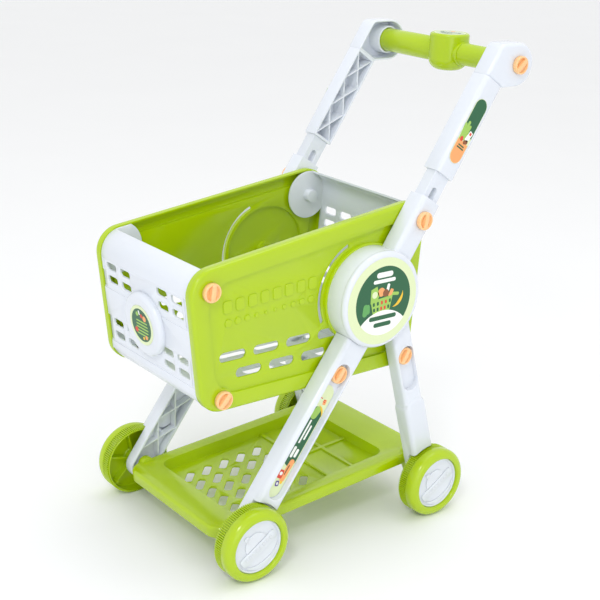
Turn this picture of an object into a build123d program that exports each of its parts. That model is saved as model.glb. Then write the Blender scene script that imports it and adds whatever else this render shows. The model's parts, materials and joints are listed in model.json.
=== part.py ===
from build123d import *
from math import cos, radians, sin
import os

# Toy shopping cart. Millimetres, +Z up, floor at z = 0, front of the cart toward -Y, handle toward +Y.
# The cart is symmetric about x = 0 apart from its handle; "left" is +X, the left hand of whoever pushes.
# The origin is on the floor under the middle of the overall length.
# Points of the side view are (y, z).

# --- fits and walls ---
joint_gap = 0.3
slide_gap = 0.3
running_gap = 0.08
screw_hole_gap = 0.3
label_thickness = 0.5
label_gap = 0.2
frame_wall = 2.4
rib_wall = 1.6
rib_step = 2.0
edge_round = 6.0
cut_margin = 1.0
weld = 0.5
beyond = 600.0

# --- basket: side view corners before rounding ---
basket_top_front = (-240.0, 370.5)
basket_bottom_front = (-217.5, 204.0)
basket_bottom_rear = (91.5, 204.0)
basket_top_rear = (103.0, 416.0)
basket_corner_radius = 30.0
recess_corner_radius = 34.0
rim_band = 20.0
rim_wall = 2.4
rim_round = 4.0
panel_web = 2.5
shell_inset = 1.5
shell_wall = 2.6
front_roll_end_y = -215.5
floor_split_front_y = -180.0
rear_split_y = 60.0
rear_roll_end_y = 78.0
split_z = 240.0

# --- widths, from the middle of the cart outward ---
basket_rim_x = 101.6
side_panel_depth = 11.1
recess_step = 4.0
frame_gap = 1.4
frame_depth = 24.0
hub_cover_height = 7.0
leg_recess_depth = 8.0
rear_leg_step = 4.0
tongue_inner_step = 3.0
tongue_outer_step = 6.0
tube_end_step = 8.0
wheel_stand_off = 16.0
wheel_side_gap = 1.5
tray_side_step = 0.6
ear_depth = 10.0
basket_inner_x = basket_rim_x - side_panel_depth
panel_recess_x = basket_rim_x - recess_step
web_inner_x = panel_recess_x - panel_web
shell_half_width = basket_inner_x - joint_gap
frame_inner_x = basket_rim_x + frame_gap
frame_face_x = frame_inner_x + frame_depth
hub_face_x = frame_face_x + hub_cover_height
leg_recess_x = frame_face_x - leg_recess_depth
rear_leg_inner_x = frame_inner_x + rear_leg_step
tongue_inner_x = frame_inner_x + tongue_inner_step
tongue_outer_x = frame_face_x - tongue_outer_step
tube_end_x = frame_face_x - tube_end_step
wheel_inner_x = frame_inner_x + wheel_stand_off
leg_foot_x = wheel_inner_x - wheel_side_gap
tray_half_width = basket_rim_x - tray_side_step
ear_inner_x = frame_inner_x - ear_depth

# --- side panel ornament and openings ---
front_screws = [(-211.6, 348.9), (-192.3, 219.4)]
rear_clips = [(72.0, 378.0), (68.0, 233.0)]
side_slot_size = (36.0, 12.0)
side_slot_pitch = 46.5
upper_slot = (-176.8, 267.0)
upper_slot_count = 4
lower_slot = (-153.9, 244.7)
lower_slot_count = 3
arc_slot_radius = 66.5
arc_slot_width = 5.0
arc_slot_angles = (115.0, 203.0)
hub_pad_radius = 61.5
hub_pad_boss_radius = 12.0
screw_pad_grow = 2.0
emboss_height = 1.8
emboss_round = 1.2
emboss_slope = 3.7
dot_radii = [4.9, 4.4, 3.9, 2.9, 2.0, 2.0, 2.9, 3.6, 4.1, 4.6]
dot_first = (-184.3, 306.9)
dot_pitch = 12.85
tile_first = (-186.0, 326.0)
tile_size = (12.0, 15.0)
tile_corner = 3.5
tile_pitch = 17.0
tile_count = 8

# --- front wall, floor and rear wall ---
wall_slot_size = (22.0, 9.5)
wall_slot_corner = 3.5
wall_slot_columns = (39.0, 69.0)
front_slot_drops = (38.0, 54.5, 110.0, 126.5)
rear_slot_heights = (262.0, 279.0, 340.0, 357.0)
middle_band = (68.0, 103.0)
bottom_band = (138.0, 148.0)
band_height = 0.8
side_strips = [(31.0, 66.0), (104.0, 136.0)]
strip_width = 7.0
strip_depth = 1.0
wall_cut_reach = 6.0
medallion_drop = 87.0
medallion_radius = 38.5
medallion_height = 8.0
medallion_round = 5.0
front_label_radius = 24.0
cheek_wall = 2.4
cheek_radius = 31.0
cheek_boss_radius = 8.0
cheek_boss_length = 12.0
floor_slot_size = (14.0, 44.0)
floor_slot_corner = 5.0
floor_slot_columns = 5
floor_slot_rows = 4
floor_slot_pitch = (28.0, 56.0)
floor_slot_margin = 36.0

# --- hub ---
hub_centre = (11.0, 309.0)
hub_radius = 59.0
hub_label_radius = 49.0
hub_cover_round = 5.5
hub_boss_radius = 12.0
hub_boss_reach = 18.0
hub_rib_reach = 13.0
hub_rib_count = 6
cover_lip = 2.0
cover_spigot_length = 9.0
bolt_radius = 3.0
bolt_head_radius = 6.0
bolt_head_height = 4.0
nut_height = 4.0

# --- legs ---
front_leg_screw = (-40.6, 222.8)
rear_leg_screw = (63.6, 224.6)
front_leg_width = 37.0
rear_leg_width = 29.0
rear_boot_grow = 2.0
rear_boot_length = 117.0
rear_boot_overlap = 40.0
wheel_arch_gap = 2.5
leg_foot_radius = 9.0
tongue_reach = 118.0
tongue_root = 8.0
tongue_step = 1.0
recess_radius = 12.3
recess_start = -2.0
front_recess_end = 152.0
rear_recess_end = 36.0
leg_ribs_start = 24.0
leg_ribs_margin = 16.0
leg_rib_bays = 4
leg_label_start = 27.0
leg_label_margin = 1.0

# --- push arm: lengths along the arm from its lock screw ---
arm_screw = (72.2, 395.8)
arm_angle = 57.0
arm_width = 32.5
socket_mouth = 25.5
sleeve_start = 58.8
sleeve_end = 186.3
sleeve_end_wall = 3.0
sleeve_rib_bays = 3
tongue_end = -10.5
tongue_width = 26.0
tongue_slot_at = 32.8
tongue_slot_length = 18.0
tongue_slot_width = 9.0
arm_label_start = 87.0
arm_label_end = 150.0
arm_label_across = -2.0
arm_label_width = 21.0

# --- handle ---
handle_y = 212.0
handle_z = 569.7
grip_radius = 15.2
tube_radius = 13.8
tube_collar_length = 14.0
tube_screw_depth = 20.0
drum_x = 8.0
drum_radius = 25.0
drum_bottom_z = 547.0
drum_top_z = 593.0
drum_top_round = 3.0
drum_bottom_round = 14.0
drum_label_margin = 5.0
drum_joint = 10.0
drum_collar = 3.0
elbow_radius = 26.0
elbow_corner_radius = 12.0
elbow_round = 4.5

# --- wheels ---
wheel_radius = 45.0
wheel_width = 28.5
wheel_shoulder = 9.0
front_axle_y = -166.5
rear_axle_y = 118.0
axle_radius = 4.0
tread_wall = 3.0
wheel_web = 3.0
wheel_hub_radius = 10.0
wheel_rib_count = 6
wheel_rib_step = 2.0
cap_radius = 33.4
cap_depth = 8.0
cap_thickness = 3.5
cap_round = 1.5
cap_rim = 6.0
cap_dish = 1.0
cap_boss_radius = 7.5
collar_length = 6.0
collar_radius = 8.0
screw_well_radius = 7.0
screw_well_depth = 13.5
axle_screw_head_radius = 6.2
axle_screw_head_height = 3.2
axle_screw_radius = 1.5
axle_screw_grip = 14.0
axle_screw_fit = 0.05
push_nut_radius = 8.0
push_nut_height = 2.0
pin_tail = 5.0
wheel_outer_x = wheel_inner_x + wheel_width
cap_seat_x = wheel_outer_x - cap_depth
collar_end_x = wheel_inner_x + collar_length
screw_seat_x = wheel_outer_x - screw_well_depth

# --- tray under the basket, drawn level and then tipped up toward the rear ---
tray_front_y = -196.0
tray_rear_y = 134.0
tray_rim_z = 67.3
tray_skirt = 13.5
tray_depth = 15.5
tray_wall = 2.4
tray_corner = 22.0
tray_rim_round = 4.0
tray_tilt = 4.3
tray_well_half_width = 81.0
tray_well_front_y = -158.0
tray_well_rear_y = 82.0
tray_well_corner = 15.0
tray_hole_pitch = (24.7, 26.6)
tray_hole_front_y = -134.0
tray_hole_size = (25.5, 10.2)
tray_hole_corner = 3.6
tray_hole_turn = -45.0
tray_hole_columns = 5
tray_hole_rows = 5
ridge_width = 5.0
ridge_height = 2.5
ridge_front_y = 2.0
ridge_rear_y = 42.0
ear_radius = 10.0
front_ear_rise = 4.0
rear_ear_shift = (-12.0, 25.0)
ear_pocket_radius = 9.0
ear_pocket_depth = 7.0

# --- thumb screws ---
screw_radius = 3.5
screw_head_radius = 11.0
screw_head_height = 7.0
screw_head_round = 1.5
screw_rim_wall = 0.3
finger_bar_width = 7.4
finger_bar_length = 15.0
finger_bar_turn = 60.0
finger_dish_depth = 4.5
leg_screw_tip = 6.0
panel_screw_tip = 8.0
handle_screw_tip = 15.0

screw_hole_radius = screw_radius + screw_hole_gap
bolt_hole_radius = bolt_radius + screw_hole_gap
axle_hole_radius = axle_radius + running_gap
axle_z = wheel_radius
front_axle = (front_axle_y, axle_z)
rear_axle = (rear_axle_y, axle_z)
handle_centre = (handle_y, handle_z)
arm_run = (cos(radians(arm_angle)), sin(radians(arm_angle)))


# --- helpers: outlines are drawn in the (y, z) plane and given a thickness along x ---
def slab(outline, x_start, x_end):
    """Outline in (y, z) extruded from x_start to x_end."""
    plane = Plane(origin=(x_start, 0, 0), x_dir=(0, 1, 0), z_dir=(1, 0, 0))
    return extrude(plane * outline, amount=x_end - x_start, dir=(1, 0, 0))


def disc(centre, radius, x_start, x_end):
    """Round plate about an axis along x."""
    return slab(Pos(centre[0], centre[1]) * Circle(radius), x_start, x_end)


def between(start, end, width):
    """Stadium outline whose end circles are centred on start and end."""
    round_start = Pos(*start) * Circle(width / 2)
    round_end = Pos(*end) * Circle(width / 2)
    return make_hull(round_start.edges() + round_end.edges())


def direction(start, end):
    """Unit vector from start to end in (y, z)."""
    run = Vector(end[0] - start[0], end[1] - start[1]).normalized()
    return (run.X, run.Y)


def along(start, run, distance, across=0.0):
    """Point at a distance along run from start, and across to its right."""
    return (start[0] + run[0] * distance + run[1] * across, start[1] + run[1] * distance - run[0] * across)


def strip(start, run, length_from, length_to, width):
    """Straight bar outline along run between two distances from start."""
    corners = [along(start, run, length_from, -width / 2), along(start, run, length_to, -width / 2),
               along(start, run, length_to, width / 2), along(start, run, length_from, width / 2)]
    return make_face(Polyline(*corners, close=True))


def foot_of(centre, start, run):
    """Point of the line through start that is nearest to centre."""
    distance = (centre[0] - start[0]) * run[0] + (centre[1] - start[1]) * run[1]
    return along(start, run, distance)


def edges_on_face(solid, x_face):
    """Edges that lie wholly on the face at x_face."""
    boxes = [(edge, edge.bounding_box()) for edge in solid.edges()]
    return [edge for edge, box in boxes if abs(box.min.X - x_face) < 0.01 and abs(box.max.X - x_face) < 0.01]


def round_long_edges(solid, x_face, length, radius):
    """Round the edges on the face at x_face that are longer than length."""
    return fillet([edge for edge in edges_on_face(solid, x_face) if edge.length > length], radius)


def round_outer_face(solid, x_face, radius):
    """Round the edges that bound the face at x_face."""
    return fillet(edges_on_face(solid, x_face), radius)


def spokes(count):
    """Directions of evenly spaced spokes."""
    turns = [radians(360.0 * index / count) for index in range(count)]
    return [(cos(turn), sin(turn)) for turn in turns]


def to_right(solid):
    """Mirror a left-hand piece to the right-hand side."""
    return solid.mirror(Plane.YZ)


def group(pieces):
    """Separate solids that share one node."""
    return Compound(children=[solid for piece in pieces for solid in piece.solids()])


# --- basket ---
def basket_outline():
    """Side view of the basket with rounded corners."""
    corners = [basket_top_front, basket_bottom_front, basket_bottom_rear, basket_top_rear]
    face = make_face(Polyline(*corners, close=True))
    return fillet(face.vertices(), basket_corner_radius)


def recess_outline(margin):
    """Outline of the recessed web, its corners swept round the screws, grown by a margin."""
    corners = [basket_top_front, basket_bottom_front, basket_bottom_rear, basket_top_rear]
    face = make_face(Polyline(*corners, close=True))
    face = offset(face, amount=-rim_band, kind=Kind.INTERSECTION)
    face = fillet(face.vertices(), recess_corner_radius)
    return offset(face, amount=margin) if margin > 0 else face


def inset(outline, distance):
    """Outline moved inward."""
    return offset(outline, amount=-distance)


def panel_point(depth, drop=0.0):
    """Point on the front wall, drop down from its top corner, depth inward from its face."""
    down = direction(basket_top_front, basket_bottom_front)
    return along(basket_top_front, down, drop, -depth)


def panel_emboss():
    """Raised ornament of the side panel: a row of rounded tiles over a row of graded dots."""
    run = (cos(radians(emboss_slope)), sin(radians(emboss_slope)))
    top_x = panel_recess_x + emboss_height
    pieces = []
    for index, radius in enumerate(dot_radii):
        centre = along(dot_first, run, index * dot_pitch)
        pieces.append(disc(centre, radius, panel_recess_x - weld, top_x))
    for index in range(tile_count):
        centre = along(tile_first, run, index * tile_pitch)
        tile = Pos(*centre) * Rot(0, 0, emboss_slope) * RectangleRounded(*tile_size, tile_corner)
        pieces.append(slab(tile, panel_recess_x - weld, top_x))
    return [round_outer_face(piece, top_x, emboss_round) for piece in pieces]


def slot_row(first, count):
    """Row of stadium slots in the side panel."""
    row = []
    for index in range(count):
        centre = (first[0] + index * side_slot_pitch, first[1])
        row.append(slab(Pos(*centre) * SlotOverall(*side_slot_size), web_inner_x - cut_margin, basket_rim_x))
    return row


def side_panel():
    """Left side panel: rolled rim, recessed web with slots, hub pad and raised ornament."""
    outline = basket_outline()
    panel = slab(outline, basket_inner_x, basket_rim_x)
    panel = round_outer_face(panel, basket_rim_x, rim_round)
    panel -= slab(recess_outline(0), panel_recess_x, basket_rim_x + cut_margin)
    panel -= slab(inset(outline, rim_wall), basket_inner_x - cut_margin, web_inner_x)
    band = inset(outline, rim_wall) - recess_outline(rim_wall)
    panel -= slab(band, web_inner_x - cut_margin, basket_rim_x - rim_wall)
    for slot in slot_row(upper_slot, upper_slot_count) + slot_row(lower_slot, lower_slot_count):
        panel -= slot
    arc = CenterArc(hub_centre, arc_slot_radius, arc_slot_angles[0], arc_slot_angles[1] - arc_slot_angles[0])
    panel += disc(hub_centre, hub_pad_radius, web_inner_x, frame_inner_x)
    panel -= disc(hub_centre, hub_pad_radius - rim_wall, web_inner_x - cut_margin, frame_inner_x - rim_wall)
    panel += disc(hub_centre, hub_pad_boss_radius, web_inner_x, frame_inner_x)
    panel -= disc(hub_centre, bolt_hole_radius, web_inner_x - cut_margin, frame_inner_x + cut_margin)
    panel -= slab(SlotArc(arc, arc_slot_width), web_inner_x - cut_margin, basket_rim_x)
    for piece in panel_emboss():
        panel += piece
    for centre in front_screws:
        panel += disc(centre, screw_head_radius + screw_pad_grow, web_inner_x, basket_rim_x)
    for centre in front_screws:
        panel -= disc(centre, screw_hole_radius, basket_inner_x, basket_rim_x + cut_margin)
    return panel


def shell_ring():
    """Closed band that the front, floor and rear panels are cut from."""
    outline = basket_outline()
    ring = inset(outline, shell_inset) - inset(outline, shell_inset + shell_wall)
    return slab(ring, -shell_half_width, shell_half_width)


def box_between(low, high):
    """Box from its two opposite corners."""
    size = [high[axis] - low[axis] for axis in range(3)]
    centre = [(high[axis] + low[axis]) / 2 for axis in range(3)]
    return Pos(*centre) * Box(*size)


def wall_plane(drop, depth):
    """Plane on the front wall, x along the cart's width, y up the wall, z outward."""
    down = direction(basket_top_front, basket_bottom_front)
    origin = panel_point(depth, drop)
    return Plane(origin=(0, origin[0], origin[1]), x_dir=(1, 0, 0), z_dir=(0, down[1], -down[0]))


def raised_band(first, last):
    """Low raised band across the front wall between two drops."""
    plane = wall_plane((first + last) / 2, shell_inset + weld)
    outline = plane * Rectangle(2 * shell_half_width, last - first)
    return extrude(outline, amount=weld + band_height, dir=plane.z_dir)


def wall_strips():
    """Cutters for the shallow strips beside the slots of the front wall."""
    cutters = []
    for first, last in side_strips:
        plane = wall_plane((first + last) / 2, shell_inset + strip_depth)
        for side in (-1, 1):
            edge = Pos(side * (shell_half_width - strip_width / 2), 0)
            mark = plane * edge * Rectangle(strip_width, last - first)
            cutters.append(extrude(mark, amount=wall_cut_reach, dir=plane.z_dir))
    return cutters


def wall_slots():
    """Cutters for the four slot groups of the front wall."""
    cutters = []
    for drop in front_slot_drops:
        plane = wall_plane(drop, shell_inset + shell_wall + cut_margin)
        for column in wall_slot_columns:
            for side in (-1, 1):
                slot = plane * Pos(side * column, 0) * RectangleRounded(*wall_slot_size, wall_slot_corner)
                cutters.append(extrude(slot, amount=shell_wall + wall_cut_reach, dir=plane.z_dir))
    return cutters


def cheeks(centre, keep_out):
    """Round ears inside both side panels that one basket screw or clip holds, clear of a box."""
    cheek = inset(basket_outline(), shell_inset) & (Pos(*centre) * Circle(cheek_radius))
    ear = slab(cheek, shell_half_width - cheek_wall, shell_half_width) - keep_out
    ear += disc(centre, cheek_boss_radius, shell_half_width - cheek_boss_length, web_inner_x)
    return [ear, to_right(ear)]


def front_panel():
    """White front wall with its rolled top, slot groups, middle band and screw cheeks."""
    upper = box_between((-beyond, -beyond, split_z), (beyond, front_roll_end_y, beyond))
    lower = box_between((-beyond, -beyond, 0), (beyond, floor_split_front_y, split_z))
    panel = (shell_ring() & (upper + lower)).solids().sort_by(Axis.Y)[0]
    panel += raised_band(*middle_band)
    panel += raised_band(*bottom_band)
    for cutter in wall_strips():
        panel -= cutter
    seat = wall_plane(medallion_drop, shell_inset)
    panel -= extrude(seat * Circle(medallion_radius), amount=wall_cut_reach, dir=seat.z_dir)
    for cutter in wall_slots():
        panel -= cutter
    under_floor = box_between((0, floor_split_front_y, 0), (beyond, beyond, split_z))
    for centre in front_screws:
        for piece in cheeks(centre, under_floor):
            panel += piece
        panel -= disc(centre, screw_hole_radius, -beyond, beyond)
    return panel


def front_medallion():
    """Round raised badge on the front wall, with a seat for its label."""
    plane = wall_plane(medallion_drop, shell_inset)
    badge = extrude(plane * Circle(medallion_radius), amount=medallion_height, dir=plane.z_dir)
    badge = fillet(badge.faces().sort_by(Axis.Y)[0].edges(), medallion_round)
    seat = plane.offset(medallion_height - label_thickness) * Circle(front_label_radius + label_gap)
    return badge - extrude(seat, amount=medallion_height, dir=plane.z_dir)


def front_label():
    """Round label on the front badge."""
    plane = wall_plane(medallion_drop, shell_inset).offset(medallion_height - label_thickness)
    return extrude(plane * Circle(front_label_radius), amount=label_thickness, dir=plane.z_dir)


def basket_floor():
    """Flat slotted floor of the basket."""
    low = (-beyond, floor_split_front_y, 0.0)
    panel = shell_ring() & box_between(low, (beyond, rear_split_y, split_z))
    for column in range(floor_slot_columns):
        for row in range(floor_slot_rows):
            centre_x = (column - (floor_slot_columns - 1) / 2) * floor_slot_pitch[0]
            centre_y = floor_split_front_y + floor_slot_margin + row * floor_slot_pitch[1]
            slot = Pos(centre_x, centre_y) * RectangleRounded(*floor_slot_size, floor_slot_corner)
            panel -= extrude(slot, amount=split_z)
    return panel


def rear_panel():
    """White rear wall with its rolled top and rows of slots."""
    upper = box_between((-beyond, rear_roll_end_y, split_z), (beyond, beyond, beyond))
    lower = box_between((-beyond, rear_split_y, 0), (beyond, beyond, split_z))
    panel = (shell_ring() & (upper + lower)).solids().sort_by(Axis.Y)[-1]
    for height in rear_slot_heights:
        for column in wall_slot_columns:
            for side in (-1, 1):
                slot = Pos(side * column, height) * RectangleRounded(*wall_slot_size, wall_slot_corner)
                slot = Plane.XZ * slot
                panel -= extrude(slot, amount=-beyond)
    under_floor = box_between((0, -beyond, 0), (beyond, rear_split_y, split_z))
    for centre in rear_clips:
        for piece in cheeks(centre, under_floor):
            panel += piece
    return panel


# --- side frame ---
front_leg_run = direction(front_leg_screw, front_axle)
rear_leg_run = direction(rear_leg_screw, rear_axle)


def cross_ribs(start, run, first, last, count, width, x_start, x_end):
    """Crossing diagonal ribs that stiffen an open channel."""
    step = (last - first) / count
    ribs = []
    for index in range(count):
        near = first + index * step
        for side in (-1, 1):
            begin = along(start, run, near, side * width / 2)
            end = along(start, run, near + step, -side * width / 2)
            rib_run = direction(begin, end)
            length = (Vector(*end) - Vector(*begin)).length
            ribs.append(slab(strip(begin, rib_run, 0, length, rib_wall), x_start, x_end))
    return ribs


def leg(screw, axle, width, inner_x, recess_end):
    """Channel leg: rounded face, screw and label recess, cross ribs and an arch that clears the wheel."""
    run = direction(screw, axle)
    top = foot_of(hub_centre, screw, run)
    body = slab(between(top, axle, width), inner_x, frame_face_x)
    body = round_outer_face(body, frame_face_x, edge_round)
    inner_width = width - 2 * frame_wall
    cavity = slab(between(top, axle, inner_width), inner_x - cut_margin, frame_face_x - frame_wall)
    recess_ends = (along(screw, run, recess_start), along(screw, run, recess_end))
    recess = between(*recess_ends, 2 * recess_radius)
    recess_shell = between(*recess_ends, 2 * (recess_radius + frame_wall))
    cavity -= slab(recess_shell, leg_recess_x - frame_wall, frame_face_x)
    arch_radius = wheel_radius + wheel_arch_gap
    cavity -= disc(axle, arch_radius + frame_wall, leg_foot_x - frame_wall, frame_face_x)
    body -= cavity
    body -= slab(recess, leg_recess_x, frame_face_x + cut_margin)
    last_rib = (Vector(*axle) - Vector(*screw)).length - leg_ribs_margin
    ribs = cross_ribs(screw, run, leg_ribs_start, last_rib, leg_rib_bays, inner_width, inner_x + rib_step,
                      leg_foot_x - frame_wall + weld)
    for rib in ribs:
        body += rib
    body += disc(axle, leg_foot_radius, inner_x, leg_foot_x)
    body -= disc(axle, arch_radius, leg_foot_x, frame_face_x + cut_margin)
    body -= disc(hub_centre, hub_radius + joint_gap, inner_x - cut_margin, frame_face_x + cut_margin)
    body -= disc(axle, axle_hole_radius, inner_x - cut_margin, leg_foot_x + cut_margin)
    body -= disc(screw, screw_hole_radius, inner_x - cut_margin, frame_face_x + cut_margin)
    return body.solids().sort_by(SortBy.VOLUME)[-1]


def front_leg():
    """Left front leg."""
    return leg(front_leg_screw, front_axle, front_leg_width, frame_inner_x, front_recess_end)


def rear_boot():
    """Arched collar outline that thickens the lower end of the rear leg."""
    return between(along(rear_leg_screw, rear_leg_run, rear_boot_length - rear_boot_overlap), rear_axle,
                   rear_leg_width + 2 * rear_boot_grow)


def rear_leg():
    """Left rear leg with its thicker lower collar."""
    body = leg(rear_leg_screw, rear_axle, rear_leg_width, rear_leg_inner_x, rear_recess_end)
    collar = slab(rear_boot(), rear_leg_inner_x, frame_face_x + rear_boot_grow)
    collar = round_outer_face(collar, frame_face_x + rear_boot_grow, edge_round)
    top = foot_of(hub_centre, rear_leg_screw, rear_leg_run)
    collar -= slab(between(top, rear_axle, rear_leg_width - frame_wall), rear_leg_inner_x - cut_margin,
                   frame_face_x - frame_wall / 2)
    body += collar
    body -= disc(rear_axle, wheel_radius + wheel_arch_gap, leg_foot_x, hub_face_x)
    return body.solids().sort_by(SortBy.VOLUME)[-1]


def tongue(screw, axle, width, inner_x):
    """Bar of the hub frame that a leg slides over."""
    run = direction(screw, axle)
    top = foot_of(hub_centre, screw, run)
    inner_width = width - 2 * frame_wall - 2 * joint_gap
    outline = strip(top, run, hub_radius - tongue_root, tongue_reach, inner_width)
    bar = slab(outline, inner_x + tongue_step, leg_recess_x - frame_wall - joint_gap)
    return bar - disc(screw, screw_hole_radius, inner_x - cut_margin, leg_recess_x)


def hub_frame():
    """Left hub drum with the socket for the push arm and the tongues for the legs."""
    drum = disc(hub_centre, hub_radius, frame_inner_x, frame_face_x)
    start = foot_of(hub_centre, arm_screw, arm_run)
    reach = (Vector(*arm_screw) - Vector(*start)).length
    socket = slab(strip(start, arm_run, 0, reach + socket_mouth, arm_width), frame_inner_x, frame_face_x)
    socket = round_long_edges(socket, frame_face_x, arm_width + cut_margin, edge_round)
    frame = drum + socket
    frame -= disc(hub_centre, hub_radius - frame_wall, frame_inner_x + frame_wall, frame_face_x + cut_margin)
    frame += tongue(front_leg_screw, front_axle, front_leg_width, frame_inner_x)
    frame += tongue(rear_leg_screw, rear_axle, rear_leg_width, rear_leg_inner_x)
    channel = strip(start, arm_run, hub_radius + frame_wall, reach + socket_mouth + cut_margin,
                    tongue_width + 2 * slide_gap)
    frame -= slab(channel, tongue_inner_x - slide_gap, tongue_outer_x + slide_gap)
    frame -= disc(arm_screw, screw_hole_radius, tongue_outer_x, frame_face_x + cut_margin)
    frame += disc(hub_centre, hub_boss_radius, frame_inner_x, frame_inner_x + hub_boss_reach)
    for run in spokes(hub_rib_count):
        rib = strip(hub_centre, run, hub_boss_radius - cut_margin, hub_radius - cut_margin, rib_wall)
        frame += slab(rib, frame_inner_x, frame_inner_x + hub_rib_reach)
    frame -= disc(hub_centre, bolt_hole_radius, frame_inner_x - cut_margin, frame_face_x)
    return frame


def hub_cover():
    """Round cover of the left hub drum, with a seat for the label."""
    cover = disc(hub_centre, hub_radius, frame_face_x, hub_face_x)
    cover = round_outer_face(cover, hub_face_x, hub_cover_round)
    inner = hub_radius - frame_wall - joint_gap
    hollow_end_x = hub_face_x - frame_wall - label_thickness
    cover += disc(hub_centre, inner, frame_face_x - cover_spigot_length, frame_face_x + weld)
    cover -= disc(hub_centre, inner - cover_lip, frame_inner_x, hollow_end_x)
    seat_radius = hub_label_radius + label_gap
    cover -= disc(hub_centre, seat_radius, hub_face_x - label_thickness, hub_face_x + cut_margin)
    return cover


def hub_label():
    """Round label of the left hub cover."""
    return disc(hub_centre, hub_label_radius, hub_face_x - label_thickness, hub_face_x)


def leg_label():
    """Long label on the floor of the front leg recess."""
    near = along(front_leg_screw, front_leg_run, leg_label_start)
    far = along(front_leg_screw, front_leg_run, front_recess_end)
    outline = between(near, far, 2 * (recess_radius - leg_label_margin))
    return slab(outline, leg_recess_x, leg_recess_x + label_thickness)


def thumb_screw(centre, seat_x, tip_x):
    """Plastic thumb screw: round head with a raised finger bar and a plain shank."""
    top_x = seat_x + screw_head_height
    head = disc(centre, screw_head_radius, seat_x, top_x)
    head = round_outer_face(head, top_x, screw_head_round)
    dish_width = screw_head_radius - finger_bar_width / 2 - screw_rim_wall
    for side in (-1, 1):
        dish = Pos(0, side * (finger_bar_width + dish_width) / 2) * Rectangle(finger_bar_length, dish_width)
        outline = Pos(*centre) * Rot(0, 0, finger_bar_turn) * dish
        head -= slab(outline, top_x - finger_dish_depth, top_x + cut_margin)
    return head + disc(centre, screw_radius, tip_x, seat_x + weld)


# --- wheels ---
def wheel(axle):
    """Left wheel moulding: tread, outer web, hub tube and radial ribs."""
    web_x = cap_seat_x - wheel_web
    inner_radius = wheel_radius - tread_wall
    body = disc(axle, wheel_radius, wheel_inner_x, wheel_outer_x)
    body = round_outer_face(body, wheel_outer_x, wheel_shoulder)
    body -= disc(axle, inner_radius, wheel_inner_x - cut_margin, web_x)
    body += disc(axle, wheel_hub_radius, collar_end_x + joint_gap, web_x + weld)
    for run in spokes(wheel_rib_count):
        rib = strip(axle, run, wheel_hub_radius - cut_margin, inner_radius + cut_margin, rib_wall)
        body += slab(rib, collar_end_x + wheel_rib_step, web_x + weld)
    body -= disc(axle, cap_radius + joint_gap, cap_seat_x, wheel_outer_x + cut_margin)
    body -= disc(axle, screw_well_radius, screw_seat_x, wheel_outer_x)
    body -= disc(axle, axle_hole_radius, wheel_inner_x, wheel_outer_x)
    return body


def wheel_cap(axle):
    """Dished cap that snaps into the outer side of a wheel."""
    face_x = cap_seat_x + cap_thickness
    cap = disc(axle, cap_radius, cap_seat_x, face_x)
    cap = round_outer_face(cap, face_x, cap_round)
    cap -= disc(axle, cap_radius - cap_rim, face_x - cap_dish, face_x + cut_margin)
    return cap + disc(axle, cap_boss_radius, cap_seat_x + cut_margin, face_x + weld)


def axle_pin(axle):
    """Stub axle: shank through the leg and tray ear, hexagonal collar, running length for the wheel."""
    pin = disc(axle, axle_radius, ear_inner_x - pin_tail, screw_seat_x - running_gap)
    pin += slab(Pos(*axle) * RegularPolygon(collar_radius, 6), leg_foot_x, collar_end_x)
    return pin - disc(axle, axle_screw_radius, screw_seat_x - axle_screw_grip, screw_seat_x)


def axle_screw(axle):
    """Steel screw whose washer head keeps the wheel on its pin."""
    head_x = screw_seat_x + joint_gap
    head = disc(axle, axle_screw_head_radius, head_x, head_x + axle_screw_head_height)
    shank_start_x = screw_seat_x - axle_screw_grip + cut_margin
    return head + disc(axle, axle_screw_radius - axle_screw_fit, shank_start_x, head_x + weld)


def push_nut(axle):
    """Spring nut on the inner end of a stub axle."""
    plate = disc(axle, push_nut_radius, ear_inner_x - push_nut_height, ear_inner_x)
    return plate - disc(axle, axle_radius, ear_inner_x - pin_tail, ear_inner_x + cut_margin)


def hub_bolt():
    """Steel bolt that holds the hub frame to the side panel."""
    end_x = frame_inner_x + hub_boss_reach + nut_height
    head = disc(hub_centre, bolt_head_radius, web_inner_x - bolt_head_height, web_inner_x)
    return head + disc(hub_centre, bolt_radius, web_inner_x - weld, end_x)


def hub_nut():
    """Hexagonal nut on the hub bolt."""
    seat_x = frame_inner_x + hub_boss_reach
    nut = slab(Pos(*hub_centre) * RegularPolygon(bolt_head_radius, 6), seat_x, seat_x + nut_height)
    return nut - disc(hub_centre, bolt_radius, seat_x - cut_margin, seat_x + nut_height + cut_margin)


# --- tray ---
def tray_perforations():
    """Slanted rounded holes through the front half of the tray floor."""
    cutters = []
    for column in range(tray_hole_columns):
        for row in range(tray_hole_rows):
            centre_x = (column - (tray_hole_columns - 1) / 2) * tray_hole_pitch[0]
            centre_y = tray_hole_front_y + row * tray_hole_pitch[1]
            hole = Rot(0, 0, tray_hole_turn) * RectangleRounded(*tray_hole_size, tray_hole_corner)
            cutters.append(extrude(Pos(centre_x, centre_y, -2 * tray_depth) * hole, amount=2 * tray_depth))
    return cutters


def tray_outline(grow, half_width, front_y, rear_y, corner):
    """Rounded rectangle in plan, grown by a margin."""
    width = 2 * (half_width + grow)
    length = rear_y - front_y + 2 * grow
    return Pos(0, (front_y + rear_y) / 2) * RectangleRounded(width, length, corner + grow)


def tray_ridge(centre_y, size_x, size_y):
    """Low ridge on the floor of the tray well."""
    return Pos(0, centre_y, ridge_height / 2 - tray_depth) * Box(size_x, size_y, ridge_height + weld)


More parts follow.
